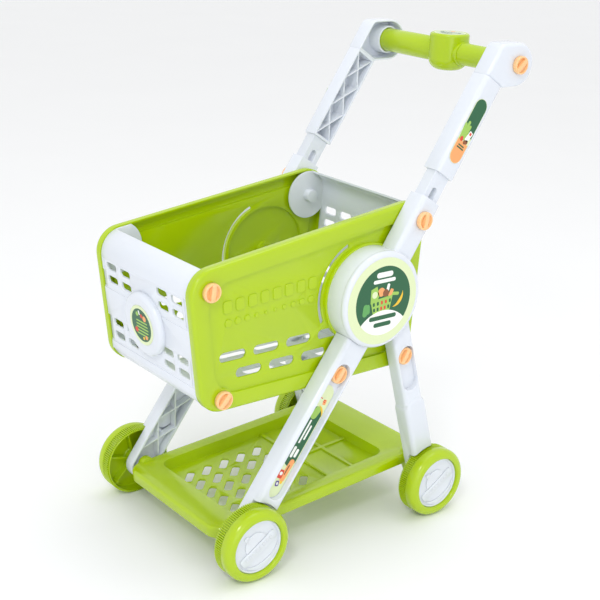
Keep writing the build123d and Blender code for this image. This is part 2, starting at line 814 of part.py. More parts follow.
def tray_pan():
    """Tray drawn level with its rim at z = 0: rim, skirt, well, ridges and holes."""
    rim = (tray_half_width, tray_front_y, tray_rear_y, tray_corner)
    well = (tray_well_half_width, tray_well_front_y, tray_well_rear_y, tray_well_corner)
    pan = extrude(Pos(0, 0, -tray_skirt) * tray_outline(0, *rim), amount=tray_skirt)
    pan = fillet(pan.faces().sort_by(Axis.Z)[-1].edges(), tray_rim_round)
    under = Pos(0, 0, -tray_skirt - cut_margin) * tray_outline(-tray_wall, *rim)
    pan -= extrude(under, amount=tray_skirt + cut_margin - tray_wall)
    cup = Pos(0, 0, -tray_depth - tray_wall) * tray_outline(tray_wall, *well)
    pan += extrude(cup, amount=tray_depth + tray_wall)
    pan -= extrude(Pos(0, 0, -tray_depth) * tray_outline(0, *well), amount=tray_depth + cut_margin)
    pan += tray_ridge(ridge_front_y, 2 * tray_well_half_width, ridge_width)
    pan += tray_ridge(ridge_rear_y, 2 * tray_well_half_width, ridge_width)
    pan += tray_ridge((ridge_front_y + tray_well_rear_y) / 2, ridge_width, tray_well_rear_y - ridge_front_y)
    for cutter in tray_perforations():
        pan -= cutter
    return pan


def bottom_tray():
    """Tray tipped up toward the rear, with ears that reach the stub axles."""
    tray = Pos(0, 0, tray_rim_z) * Rot(tray_tilt, 0, 0) * tray_pan()
    front_top = (front_axle[0], front_axle[1] + front_ear_rise)
    rear_top = (rear_axle[0] + rear_ear_shift[0], rear_axle[1] + rear_ear_shift[1])
    for axle, top in ((front_axle, front_top), (rear_axle, rear_top)):
        ear = slab(between(axle, top, 2 * ear_radius), ear_inner_x, frame_inner_x - joint_gap)
        pocket = disc(axle, ear_pocket_radius, ear_inner_x - ear_pocket_depth, ear_inner_x)
        tray += ear
        tray += to_right(ear)
        tray -= disc(axle, axle_hole_radius, -beyond, beyond)
        tray -= pocket
        tray -= to_right(pocket)
    return tray


# --- handle ---
def upper_arm():
    """Left upper arm: open channel with cross ribs and the tongue that slides in the hub socket."""
    sleeve = slab(strip(arm_screw, arm_run, sleeve_start, sleeve_end, arm_width), frame_inner_x, frame_face_x)
    sleeve = round_long_edges(sleeve, frame_face_x, arm_width + cut_margin, edge_round)
    inner_width = arm_width - 2 * frame_wall
    hollow = (sleeve_start + sleeve_end_wall, sleeve_end - sleeve_end_wall)
    sleeve -= slab(strip(arm_screw, arm_run, *hollow, inner_width), frame_inner_x - cut_margin,
                   frame_face_x - frame_wall)
    ribs = cross_ribs(arm_screw, arm_run, *hollow, sleeve_rib_bays, inner_width, frame_inner_x + rib_step,
                      frame_face_x - frame_wall + weld)
    for rib in ribs:
        sleeve += rib
    outline = strip(arm_screw, arm_run, tongue_end, sleeve_start + cut_margin, tongue_width)
    half_slot = (tongue_slot_length - tongue_slot_width) / 2
    slot_start = along(arm_screw, arm_run, tongue_slot_at - half_slot)
    slot_end = along(arm_screw, arm_run, tongue_slot_at + half_slot)
    outline -= between(slot_start, slot_end, tongue_slot_width)
    bar = slab(outline, tongue_inner_x, tongue_outer_x)
    return sleeve + bar


def elbow_outline():
    """Side view of the elbow between the upper arm and the handle."""
    base_front = along(arm_screw, arm_run, sleeve_end, -arm_width / 2)
    base_rear = along(arm_screw, arm_run, sleeve_end, arm_width / 2)
    top_z = handle_z + elbow_radius
    rise = (top_z - base_front[1]) / arm_run[1]
    top_front = along(base_front, arm_run, rise)
    far_y = handle_y + elbow_radius
    far_bottom = (far_y, handle_z - elbow_radius)
    face = make_face(Polyline(base_front, top_front, (far_y, top_z), far_bottom, base_rear, close=True))
    far_corners = [vertex for vertex in face.vertices() if abs(vertex.X - far_y) < 0.01]
    face = fillet(far_corners, elbow_radius - 0.1)
    near_top = face.vertices().sort_by_distance((top_front[0], top_front[1], 0))[:1]
    return fillet(near_top, elbow_corner_radius)


def elbow():
    """Left elbow shell with the socket for the handle tube."""
    outline = elbow_outline()
    shell = slab(outline, frame_inner_x, frame_face_x)
    shell = round_outer_face(shell, frame_face_x, elbow_round)
    shell -= slab(inset(outline, frame_wall), frame_inner_x - cut_margin, frame_face_x - frame_wall)
    socket_radius = grip_radius + joint_gap
    socket_end_x = frame_face_x - frame_wall + weld
    shell += disc(handle_centre, socket_radius + frame_wall, frame_inner_x + rib_step, socket_end_x)
    shell -= disc(handle_centre, socket_radius, frame_inner_x, tube_end_x + joint_gap)
    shell -= disc(handle_centre, screw_hole_radius, frame_inner_x, frame_face_x + cut_margin)
    return shell


def handle_screw_hole(x_start, x_end):
    """Blind screw hole in an end of the handle."""
    return disc(handle_centre, screw_hole_radius, x_start, x_end)


def handle_grip():
    """Thicker round grip on the right-hand side of the drum."""
    grip = disc(handle_centre, grip_radius, -tube_end_x, drum_x - drum_joint)
    grip -= handle_screw_hole(-tube_end_x - cut_margin, -tube_end_x + tube_screw_depth)
    return grip - handle_drum_stock()


def handle_tube():
    """Slimmer tube on the left-hand side, with a stepped collar at the drum."""
    tube = disc(handle_centre, tube_radius, drum_x + drum_joint, tube_end_x - cut_margin)
    tube += disc(handle_centre, grip_radius, tube_end_x - tube_collar_length, tube_end_x)
    tube += disc(handle_centre, grip_radius, drum_x + drum_joint, drum_x + drum_radius + drum_collar)
    tube -= handle_screw_hole(tube_end_x - tube_screw_depth, tube_end_x + cut_margin)
    return tube - handle_drum_stock()


def handle_drum_stock():
    """Outer shape of the drum: upright puck with a flat top and a rounded bottom."""
    puck = extrude(Circle(drum_radius), amount=drum_top_z - drum_bottom_z)
    puck = Pos(drum_x, handle_y, drum_bottom_z) * puck
    puck = fillet(puck.faces().sort_by(Axis.Z)[-1].edges(), drum_top_round)
    return fillet(puck.faces().sort_by(Axis.Z)[0].edges(), drum_bottom_round)


def drum_plate(radius):
    """Round plate let into the top of the drum."""
    plate = extrude(Circle(radius), amount=label_thickness)
    return Pos(drum_x, handle_y, drum_top_z - label_thickness) * plate


def handle_drum():
    """Drum in the middle of the handle, with a seat for its label."""
    return handle_drum_stock() - drum_plate(drum_radius - drum_label_margin + label_gap)


def drum_label():
    """Round label on top of the drum."""
    return drum_plate(drum_radius - drum_label_margin)


def arm_label():
    """Long label on the face of the left upper arm."""
    near = along(arm_screw, arm_run, arm_label_start, arm_label_across)
    far = along(arm_screw, arm_run, arm_label_end, arm_label_across)
    return slab(between(near, far, arm_label_width), frame_face_x, frame_face_x + label_thickness)


# --- all nodes ---
def export_node(name, shape):
    """Write one node as a STEP file."""
    export_step(shape, f"parts/{name}.step")


def export_pair(name, shape):
    """Write a left-hand piece and its mirror image."""
    export_node(f"{name}_left", shape)
    export_node(f"{name}_right", to_right(shape))


def export_cart():
    """Build and write every node of the cart."""
    export_pair("side_panel", side_panel())
    export_node("front_panel", front_panel())
    export_node("front_medallion", front_medallion())
    export_node("front_label", front_label())
    export_node("basket_floor", basket_floor())
    export_node("rear_panel", rear_panel())
    export_pair("hub_frame", hub_frame())
    export_pair("hub_cover", hub_cover())
    export_pair("hub_label", hub_label())
    export_pair("front_leg", front_leg())
    export_pair("rear_leg", rear_leg())
    export_pair("leg_label", leg_label())
    export_pair("upper_arm", upper_arm())
    export_pair("elbow", elbow())
    export_pair("arm_label", arm_label())
    export_node("handle_grip", handle_grip())
    export_node("handle_tube", handle_tube())
    export_node("handle_drum", handle_drum())
    export_node("drum_label", drum_label())
    export_node("bottom_tray", bottom_tray())
    export_fasteners()
    export_wheels()


def both_sides(pieces):
    """Left-hand pieces together with their mirror images."""
    return group(pieces + [to_right(piece) for piece in pieces])


def export_fasteners():
    """Screws, stub axles, nuts and bolts."""
    tip_x = frame_inner_x + leg_screw_tip
    leg_screws = [thumb_screw(centre, leg_recess_x, tip_x) for centre in (front_leg_screw, rear_leg_screw)]
    export_node("leg_screws", both_sides(leg_screws))
    tip_x = shell_half_width - panel_screw_tip
    panel_screws = [thumb_screw(centre, basket_rim_x, tip_x) for centre in front_screws]
    export_node("panel_screws", both_sides(panel_screws))
    export_pair("arm_lock_screw", thumb_screw(arm_screw, frame_face_x, tongue_outer_x + slide_gap))
    handle_screw = thumb_screw(handle_centre, frame_face_x, tube_end_x - handle_screw_tip)
    export_node("handle_screws", both_sides([handle_screw]))
    axles = (front_axle, rear_axle)
    export_node("axle_pins", both_sides([axle_pin(axle) for axle in axles]))
    export_node("axle_screws", both_sides([axle_screw(axle) for axle in axles]))
    export_node("axle_push_nuts", both_sides([push_nut(axle) for axle in axles]))
    export_node("hub_bolts", both_sides([hub_bolt()]))
    export_node("hub_nuts", both_sides([hub_nut()]))


def export_wheels():
    """Four wheels, each a moulding and a cap."""
    for name, axle in (("front", front_axle), ("rear", rear_axle)):
        export_pair(f"{name}_wheel", wheel(axle))
        export_pair(f"{name}_wheel_cap", wheel_cap(axle))


os.makedirs("parts", exist_ok=True)
export_cart()
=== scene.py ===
# Looks of a toy shopping cart: moulded shells, wheels, thumb screws, printed labels and a plain studio.

import json
from math import atan2, cos, hypot, pi, radians, sin

import bmesh
import bpy
from bpy.props import FloatProperty, FloatVectorProperty, IntProperty, StringProperty
from mathutils import Matrix, Vector

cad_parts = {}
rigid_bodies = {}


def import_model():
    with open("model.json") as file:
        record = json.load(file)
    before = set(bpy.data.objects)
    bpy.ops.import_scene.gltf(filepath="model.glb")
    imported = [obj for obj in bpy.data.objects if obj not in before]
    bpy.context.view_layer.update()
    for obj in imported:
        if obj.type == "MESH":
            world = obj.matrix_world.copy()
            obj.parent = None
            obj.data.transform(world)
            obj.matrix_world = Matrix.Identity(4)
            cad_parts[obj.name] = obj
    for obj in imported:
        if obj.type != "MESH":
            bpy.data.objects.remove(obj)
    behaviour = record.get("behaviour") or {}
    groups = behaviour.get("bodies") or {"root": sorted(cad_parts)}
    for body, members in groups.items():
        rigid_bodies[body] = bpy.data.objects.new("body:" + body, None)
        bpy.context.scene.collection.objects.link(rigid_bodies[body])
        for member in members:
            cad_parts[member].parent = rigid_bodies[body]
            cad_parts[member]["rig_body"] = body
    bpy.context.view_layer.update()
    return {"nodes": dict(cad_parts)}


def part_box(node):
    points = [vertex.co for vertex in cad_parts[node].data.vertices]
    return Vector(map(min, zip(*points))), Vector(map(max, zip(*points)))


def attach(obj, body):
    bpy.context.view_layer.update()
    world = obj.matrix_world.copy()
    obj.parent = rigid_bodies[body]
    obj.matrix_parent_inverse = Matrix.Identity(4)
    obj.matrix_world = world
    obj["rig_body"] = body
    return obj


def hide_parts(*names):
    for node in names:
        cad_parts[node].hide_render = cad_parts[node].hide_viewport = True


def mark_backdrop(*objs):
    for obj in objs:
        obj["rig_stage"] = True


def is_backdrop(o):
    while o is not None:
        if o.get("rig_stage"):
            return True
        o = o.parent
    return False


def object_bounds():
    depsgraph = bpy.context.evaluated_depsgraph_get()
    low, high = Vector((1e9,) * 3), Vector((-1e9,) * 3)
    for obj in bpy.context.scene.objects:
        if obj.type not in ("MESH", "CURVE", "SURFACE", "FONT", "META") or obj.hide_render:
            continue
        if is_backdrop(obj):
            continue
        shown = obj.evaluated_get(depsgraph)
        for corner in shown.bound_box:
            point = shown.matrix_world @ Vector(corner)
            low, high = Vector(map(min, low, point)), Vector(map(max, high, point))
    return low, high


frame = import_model()
MM = 0.001
# corners of a CAD mesh closer than this are one point
SAME_POINT = 2e-6
# faces of a CAD mesh within this many degrees are one flat face
FLAT_WITHIN = 0.4

bl_info = {
    "name": "Toy shopping cart",
    "version": (1, 0, 0),
    "blender": (4, 5, 0),
    "location": "View3D > Sidebar > Cart",
    "description": "Builds the shells, wheels, screws, labels and studio of a toy shopping cart",
    "category": "Object",
}

SIDES = ("left", "right")
SHELLS_GREEN = (
    "side_panel_left", "side_panel_right", "bottom_tray", "handle_grip", "handle_tube", "handle_drum",
)
SHELLS_WHITE = (
    "front_panel", "front_medallion", "basket_floor", "rear_panel",
    "hub_frame_left", "hub_frame_right", "hub_cover_left", "hub_cover_right",
    "front_leg_left", "front_leg_right", "rear_leg_left", "rear_leg_right",
    "upper_arm_left", "upper_arm_right", "elbow_left", "elbow_right",
)
SCREW_NODES = ("leg_screws", "panel_screws", "handle_screws", "arm_lock_screw_left", "arm_lock_screw_right")
STEEL_NODES = ("axle_screws", "axle_push_nuts", "hub_bolts", "hub_nuts")


# ---------------------------------------------------------------- settings


def hex_property(name, description, default):
    """Text property that holds an sRGB hex colour."""
    return StringProperty(name=name, description=description, default=default)


def length_property(name, description, default):
    """Length in metres."""
    return FloatProperty(name=name, description=description, default=default, unit="LENGTH", precision=5)


class CartSizes(bpy.types.PropertyGroup):
    """Sizes a user would change, in metres."""

    edge_radius: length_property("Edge radius", "Rounding of moulded edges", 0.0008)
    rib_count: IntProperty(name="Tread ribs", description="Fine ribs round each wheel", default=104, min=3)
    rib_radius: length_property("Tread rib radius", "Half width of one tread rib", 0.00072)
    rib_height: length_property("Tread rib height", "Height of one tread rib", 0.0024)
    rib_share: FloatProperty(name="Ribbed share", description="Share of the tread width with ribs",
                             default=0.46, subtype="FACTOR")
    art_layer: length_property("Print layer", "Height of one printed layer", 0.00012)


class CartColours(bpy.types.PropertyGroup):
    """Colours as sRGB hex values."""

    lime: hex_property("Lime", "Green mouldings", "#ABC702")
    white: hex_property("White", "White mouldings", "#DCE1E9")
    orange: hex_property("Orange", "Thumb screws and axle collars", "#F7C48C")
    leaf: hex_property("Leaf green", "Dark green of the labels", "#215F3C")
    cream: hex_property("Cream", "Pale ring of the labels", "#DCE8BA")
    peach: hex_property("Peach", "Warm panel of the arm labels", "#F2A567")
    floor: hex_property("Floor", "Studio floor", "#F4F5F6")


class CartView(bpy.types.PropertyGroup):
    """Camera of the studio."""

    location: FloatVectorProperty(name="Location", description="Camera position",
                                  default=(1.1371, -0.9324, 0.7818), subtype="TRANSLATION", unit="LENGTH")
    azimuth: FloatProperty(name="Azimuth", description="Turn round the cart, degrees", default=50.8)
    elevation: FloatProperty(name="Elevation", description="Angle above the floor, degrees", default=19.15)
    roll: FloatProperty(name="Roll", description="Tilt of the picture, degrees", default=2.71)
    lens: FloatProperty(name="Lens", description="Focal length on a 36 mm sensor", default=74.77)


def sizes():
    """The size settings."""
    return bpy.context.scene.cart_sizes


def colours():
    """The colour settings."""
    return bpy.context.scene.cart_colours


# ---------------------------------------------------------------- colour and node helpers


def linear(hex_colour):
    """sRGB hex to linear RGBA."""
    channels = [int(hex_colour[i:i + 2], 16) / 255 for i in (1, 3, 5)]
    return [c / 12.92 if c <= 0.04045 else ((c + 0.055) / 1.055) ** 2.4 for c in channels] + [1.0]


def shade(hex_colour, factor):
    """Linear colour scaled in brightness."""
    return [min(1.0, c * factor) for c in linear(hex_colour)[:3]] + [1.0]


def add_node(tree, kind, settings=None, links=None):
    """New node with its settings and links; a setting names a property or an input."""
    node = tree.nodes.new(kind)
    for key, value in (settings or {}).items():
        if isinstance(key, int) or key in node.inputs:
            node.inputs[key].default_value = value
        else:
            setattr(node, key, value)
    for key, socket in (links or {}).items():
        tree.links.new(socket, node.inputs[key])
    return node


def blend(tree, low, high, share):
    """Colour socket that runs from one colour to another with a share from 0 to 1."""
    first, second, result = 6, 7, 2
    mix = add_node(tree, "ShaderNodeMix", {"data_type": "RGBA", first: low, second: high}, {0: share})
    return mix.outputs[result]


def new_material(name):
    """Empty node material with its output."""
    material = bpy.data.materials.new(name)
    material.use_nodes = True
    tree = material.node_tree
    tree.nodes.clear()
    return material, tree, add_node(tree, "ShaderNodeOutputMaterial")


def moulded_plastic(name, colour, rough, drift, glow, glow_radius):
    """Injection moulded ABS: glossy, with slow colour drift from the melt and a faint orange peel."""
    material, tree, output = new_material(name)
    place = add_node(tree, "ShaderNodeTexCoord").outputs["Object"]
    # melt flow drifts the colour over about 60 mm
    flow = add_node(tree, "ShaderNodeTexNoise", {"Scale": 1 / (60 * MM), "Detail": 3.0, "Roughness": 0.5},
                    {"Vector": place})
    tint = blend(tree, shade(colour, 1 - drift), shade(colour, 1 + drift), flow.outputs["Fac"])
    # handling marks change the gloss over about 25 mm
    smear = add_node(tree, "ShaderNodeTexNoise", {"Scale": 1 / (25 * MM), "Detail": 5.0, "Roughness": 0.6},
                     {"Vector": place})
    gloss = add_node(tree, "ShaderNodeMapRange", {"From Min": 0.3, "From Max": 0.7, "To Min": rough * 0.9,
                                                  "To Max": rough * 1.12}, {"Value": smear.outputs["Fac"]})
    # orange peel of a polished mould, about 2.5 mm from wave to wave
    peel = add_node(tree, "ShaderNodeTexNoise", {"Scale": 1 / (2.5 * MM), "Detail": 2.0}, {"Vector": place})
    wave = add_node(tree, "ShaderNodeBump", {"Strength": 0.03, "Distance": 0.1 * MM},
                    {"Height": peel.outputs["Fac"]})
    # spark grain of the mould, 0.5 mm, a little coarser than the real one so that it shows close up
    grain = add_node(tree, "ShaderNodeTexNoise", {"Scale": 1 / (0.5 * MM), "Detail": 1.0}, {"Vector": place})
    skin = add_node(tree, "ShaderNodeBump", {"Strength": 0.02, "Distance": 0.03 * MM},
                    {"Height": grain.outputs["Fac"], "Normal": wave.outputs["Normal"]})
    surface = add_node(tree, "ShaderNodeBsdfPrincipled",
                       {"IOR": 1.53, "Subsurface Weight": glow, "Subsurface Radius": glow_radius,
                        "Subsurface Scale": 2 * MM, "Coat Weight": 0.1, "Coat Roughness": 0.08},
                       {"Base Color": tint, "Roughness": gloss.outputs["Result"],
                        "Normal": skin.outputs["Normal"]})
    tree.links.new(surface.outputs["BSDF"], output.inputs["Surface"])
    return material


def printed_film(name, colour):
    """Printed polypropylene film: satin, with the fine dot screen of offset print."""
    material, tree, output = new_material(name)
    place = add_node(tree, "ShaderNodeTexCoord").outputs["Object"]
    # print screen, drawn at 0.6 mm, coarser than the real one, so that it shows close up
    screen = add_node(tree, "ShaderNodeTexVoronoi", {"Scale": 1 / (0.6 * MM)}, {"Vector": place})
    ink = blend(tree, shade(colour, 1.05), shade(colour, 0.93), screen.outputs["Distance"])
    # the film lies with slow waves about 9 mm long
    waves = add_node(tree, "ShaderNodeTexNoise", {"Scale": 1 / (9 * MM), "Detail": 1.0}, {"Vector": place})
    lie = add_node(tree, "ShaderNodeBump", {"Strength": 0.05, "Distance": 0.1 * MM},
                   {"Height": waves.outputs["Fac"]})
    surface = add_node(tree, "ShaderNodeBsdfPrincipled", {"Roughness": 0.32, "IOR": 1.49},
                       {"Base Color": ink, "Normal": lie.outputs["Normal"]})
    tree.links.new(surface.outputs["BSDF"], output.inputs["Surface"])
    return material


def plated_steel(name):
    """Zinc plated steel: bright grey, with turning marks."""
    material, tree, output = new_material(name)
    place = add_node(tree, "ShaderNodeTexCoord").outputs["Object"]
    marks = add_node(tree, "ShaderNodeTexNoise", {"Scale": 1 / (0.8 * MM), "Detail": 3.0}, {"Vector": place})
    rough = add_node(tree, "ShaderNodeMapRange", {"To Min": 0.22, "To Max": 0.42},
                     {"Value": marks.outputs["Fac"]})
    tone = blend(tree, linear("#B4B7BC"), linear("#CDD0D4"), marks.outputs["Fac"])
    surface = add_node(tree, "ShaderNodeBsdfPrincipled", {"Metallic": 1.0},
                       {"Base Color": tone, "Roughness": rough.outputs["Result"]})
    tree.links.new(surface.outputs["BSDF"], output.inputs["Surface"])
    return material


def studio_paint(name, colour):
    """Matt studio floor with a faint mottle."""
    material, tree, output = new_material(name)
    place = add_node(tree, "ShaderNodeTexCoord").outputs["Object"]
    # patches of the paint roller, about 300 mm
    mottle = add_node(tree, "ShaderNodeTexNoise", {"Scale": 1 / (300 * MM), "Detail": 2.0}, {"Vector": place})
    tone = blend(tree, shade(colour, 0.99), shade(colour, 1.01), mottle.outputs["Fac"])
    surface = add_node(tree, "ShaderNodeBsdfPrincipled", {"Roughness": 0.6}, {"Base Color": tone})
    tree.links.new(surface.outputs["BSDF"], output.inputs["Surface"])
    return material


def finish(name):
    """The shared material of that name, made on first use."""
    if name in bpy.data.materials:
        return bpy.data.materials[name]
    tint = colours()
    makers = {
        "lime_abs": lambda: moulded_plastic(name, tint.lime, 0.18, 0.05, 0.06, (0.6, 1.0, 0.15)),
        "white_abs": lambda: moulded_plastic(name, tint.white, 0.24, 0.006, 0.4, (1.0, 1.0, 1.0)),
        "orange_abs": lambda: moulded_plastic(name, tint.orange, 0.2, 0.05, 0.2, (1.0, 0.45, 0.2)),
        "amber_nylon": lambda: moulded_plastic(name, "#E9B64A", 0.3, 0.04, 0.2, (1.0, 0.6, 0.2)),
        "zinc_steel": lambda: plated_steel(name),
        "studio_floor": lambda: studio_paint(name, tint.floor),
        "print_leaf": lambda: printed_film(name, tint.leaf),
        "print_cream": lambda: printed_film(name, tint.cream),
        "print_peach": lambda: printed_film(name, tint.peach),
        "print_white": lambda: printed_film(name, "#F4F6F1"),
        "print_red": lambda: printed_film(name, "#D8452F"),
        "print_yellow": lambda: printed_film(name, "#F0C230"),
        "print_brown": lambda: printed_film(name, "#8A5532"),
        "print_lime": lambda: printed_film(name, "#9CC65A"),
        "print_plum": lambda: printed_film(name, "#5C4E96"),
        "print_fern": lambda: printed_film(name, "#5FA55A"),
        "print_sage": lambda: printed_film(name, "#C4D3B4"),
    }
    return makers[name]()


# ---------------------------------------------------------------- mesh helpers


def new_piece(name, mesh, body, *replaced, slot=None):
    """Object at the origin that rides on a body and stands for CAD nodes."""
    piece = bpy.data.objects.new(name, mesh)
    bpy.context.scene.collection.objects.link(piece)
    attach(piece, body)
    if replaced:
        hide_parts(*replaced)
    return piece


def body_of_node(node):
    """Name of the body that a CAD node belongs to."""
    return frame["nodes"][node]["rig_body"]


def apply_modifiers(piece):
    """Turn the evaluated object into its plain mesh."""
    graph = bpy.context.evaluated_depsgraph_get()
    mesh = bpy.data.meshes.new_from_object(piece.evaluated_get(graph))
    piece.modifiers.clear()
    old = piece.data
    piece.data = mesh
    if old.users == 0 and isinstance(old, bpy.types.Mesh):
        bpy.data.meshes.remove(old)
    return piece


def smooth(mesh, angle=30.0):
    """Smooth shading that keeps edges sharper than angle."""
    mesh.shade_smooth()
    mesh.set_sharp_from_angle(angle=radians(angle))


def merged_copy(node):
    """Clean copy of a CAD node's mesh: corners joined, flat faces whole."""
    mesh = frame["nodes"][node].data.copy()
    soup = bmesh.new()
    soup.from_mesh(mesh)
    bmesh.ops.remove_doubles(soup, verts=soup.verts, dist=SAME_POINT)
    bmesh.ops.dissolve_limit(soup, angle_limit=radians(FLAT_WITHIN), verts=soup.verts, edges=soup.edges)
    soup.to_mesh(mesh)
    soup.free()
    mesh.materials.clear()
    return mesh


def solid_boxes(node):
    """Lowest and highest corner of each separate solid of a CAD node."""
    soup = bmesh.new()
    soup.from_mesh(frame["nodes"][node].data)
    bmesh.ops.remove_doubles(soup, verts=soup.verts, dist=SAME_POINT)
    left = set(soup.verts)
    boxes = []
    while left:
        front = [left.pop()]
        island = list(front)
        while front:
            vertex = front.pop()
            for edge in vertex.link_edges:
                other = edge.other_vert(vertex)
                if other in left:
                    left.remove(other)
                    front.append(other)
                    island.append(other)
        low = Vector(min(v.co[axis] for v in island) for axis in range(3))
        high = Vector(max(v.co[axis] for v in island) for axis in range(3))
        boxes.append((low, high))
    soup.free()
    return boxes


def soft_shell(node, material, edge_radius):
    """CAD shell with its edges rounded as a moulding's are."""
    mesh = merged_copy(node)
    mesh.materials.append(material)
    piece = bpy.data.objects.new(f"{node}_shell", mesh)
    bpy.context.scene.collection.objects.link(piece)
    bevel = piece.modifiers.new("edges", "BEVEL")
    bevel.width = edge_radius
    bevel.segments = 2
    bevel.limit_method = "ANGLE"
    bevel.angle_limit = radians(32)
    bevel.harden_normals = False
    bevel.use_clamp_overlap = True
    apply_modifiers(piece)
    smooth(piece.data, 35)
    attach(piece, body_of_node(node))
    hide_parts(node)
    return piece


def lathe(profile, steps):
    """Closed surface of revolution about the X axis from (x, radius) points; ends may lie on the axis."""
    soup = bmesh.new()
    rings = []
    for x, radius in profile:
        if radius < 1e-7:
            rings.append([soup.verts.new((x, 0, 0))])
        else:
            ring = [soup.verts.new((x, radius * cos(2 * pi * i / steps), radius * sin(2 * pi * i / steps)))
                    for i in range(steps)]
            rings.append(ring)
    for near, far in zip(rings, rings[1:] + rings[:1]):
        if len(near) == 1 and len(far) == 1:
            continue
        for i in range(steps):
            j = (i + 1) % steps
            corners = [near[i % len(near)], far[i % len(far)], far[j % len(far)], near[j % len(near)]]
            unique = list(dict.fromkeys(corners))
            if len(unique) > 2:
                soup.faces.new(unique)
    bmesh.ops.recalc_face_normals(soup, faces=soup.faces)
    mesh = bpy.data.meshes.new("lathe")
    soup.to_mesh(mesh)
    soup.free()
    return mesh


def arc_points(centre, radius, start, end, steps):
    """Points of an arc in degrees, ends included."""
    turn = [radians(start + (end - start) * i / steps) for i in range(steps + 1)]
    return [(centre[0] + radius * cos(a), centre[1] + radius * sin(a)) for a in turn]


def joined(name, meshes):
    """One mesh from several, keeping their materials."""
    soup = bmesh.new()
    materials = []
    for mesh, move in meshes:
        copy = mesh.copy()
        copy.transform(move)
        offset = []
        for material in mesh.materials:
            if material not in materials:
                materials.append(material)
            offset.append(materials.index(material))
        if offset:
            for face in copy.polygons:
                face.material_index = offset[min(face.material_index, len(offset) - 1)]
        soup.from_mesh(copy)
        bpy.data.meshes.remove(copy)
    result = bpy.data.meshes.new(name)
    soup.to_mesh(result)
    soup.free()
    for material in materials:
        result.materials.append(material)
    return result


def plate(outline, low, high, material, edge=0.0):
    """Flat plate with an outline in its own plane, between two heights, its top rim rounded."""
    soup = bmesh.new()
    base = [soup.verts.new((a, b, low)) for a, b in outline]
    top = [soup.verts.new((a, b, high)) for a, b in outline]
    soup.faces.new(base)
    cap = soup.faces.new(top)
    count = len(outline)
    for i in range(count):
        j = (i + 1) % count
        soup.faces.new((base[i], base[j], top[j], top[i]))
    if edge > 0:
        bmesh.ops.bevel(soup, geom=list(cap.edges), offset=edge, segments=2, affect="EDGES", profile=0.5)
    bmesh.ops.recalc_face_normals(soup, faces=soup.faces)
    mesh = bpy.data.meshes.new("plate")
    soup.to_mesh(mesh)
    soup.free()
    mesh.materials.append(material)
    return mesh


def mirrored(mesh):
    """Copy of a mesh on the other side of the cart."""
    copy = mesh.copy()
    copy.transform(Matrix.Scale(-1, 4, (1, 0, 0)))
    copy.flip_normals()
    return copy


# ---------------------------------------------------------------- outlines for plates and prints


def circle(centre, radius, steps=48):
    """Points of a circle."""
    return arc_points(centre, radius, 0, 360 * (steps - 1) / steps, steps - 1)


def capsule(start, end, radius, steps=12):
    """Points of a stadium between two end centres."""
    heading = atan2(end[1] - start[1], end[0] - start[0]) * 180 / pi
    return (arc_points(end, radius, heading - 90, heading + 90, steps)
            + arc_points(start, radius, heading + 90, heading + 270, steps))


def rounded_box(centre, width, height, radius, tilt=0.0, steps=5):
    """Points of a tilted rectangle with round corners."""
    points = []
    for corner, (sx, sy) in enumerate(((1, 1), (-1, 1), (-1, -1), (1, -1))):
        middle = (sx * (width / 2 - radius), sy * (height / 2 - radius))
        points += arc_points(middle, radius, corner * 90, corner * 90 + 90, steps)
    turn = radians(tilt)
    c, s = cos(turn), sin(turn)
    return [(centre[0] + x * c - y * s, centre[1] + x * s + y * c) for x, y in points]


def crescent(centre, radius, start, end, thickness, steps=14):
    """Points of a moon shape that is thickest in its middle."""
    outer = arc_points(centre, radius, start, end, steps)
    inner = []
    for i in range(steps + 1):
        angle = radians(end + (start - end) * i / steps)
        depth = radius - thickness * sin(pi * i / steps)
        inner.append((centre[0] + depth * cos(angle), centre[1] + depth * sin(angle)))
    return outer + inner[1:-1]


# ---------------------------------------------------------------- operators: shells


class CART_OT_shells(bpy.types.Operator):
    """Green and white mouldings with rounded edges"""

    bl_idname = "cart.shells"
    bl_label = "Moulded shells"

    def execute(self, context):
        edge = sizes().edge_radius
        for node in SHELLS_GREEN:
            soft_shell(node, finish("lime_abs"), edge)
        for node in SHELLS_WHITE:
            soft_shell(node, finish("white_abs"), edge)
        return {"FINISHED"}


# ---------------------------------------------------------------- operators: wheels


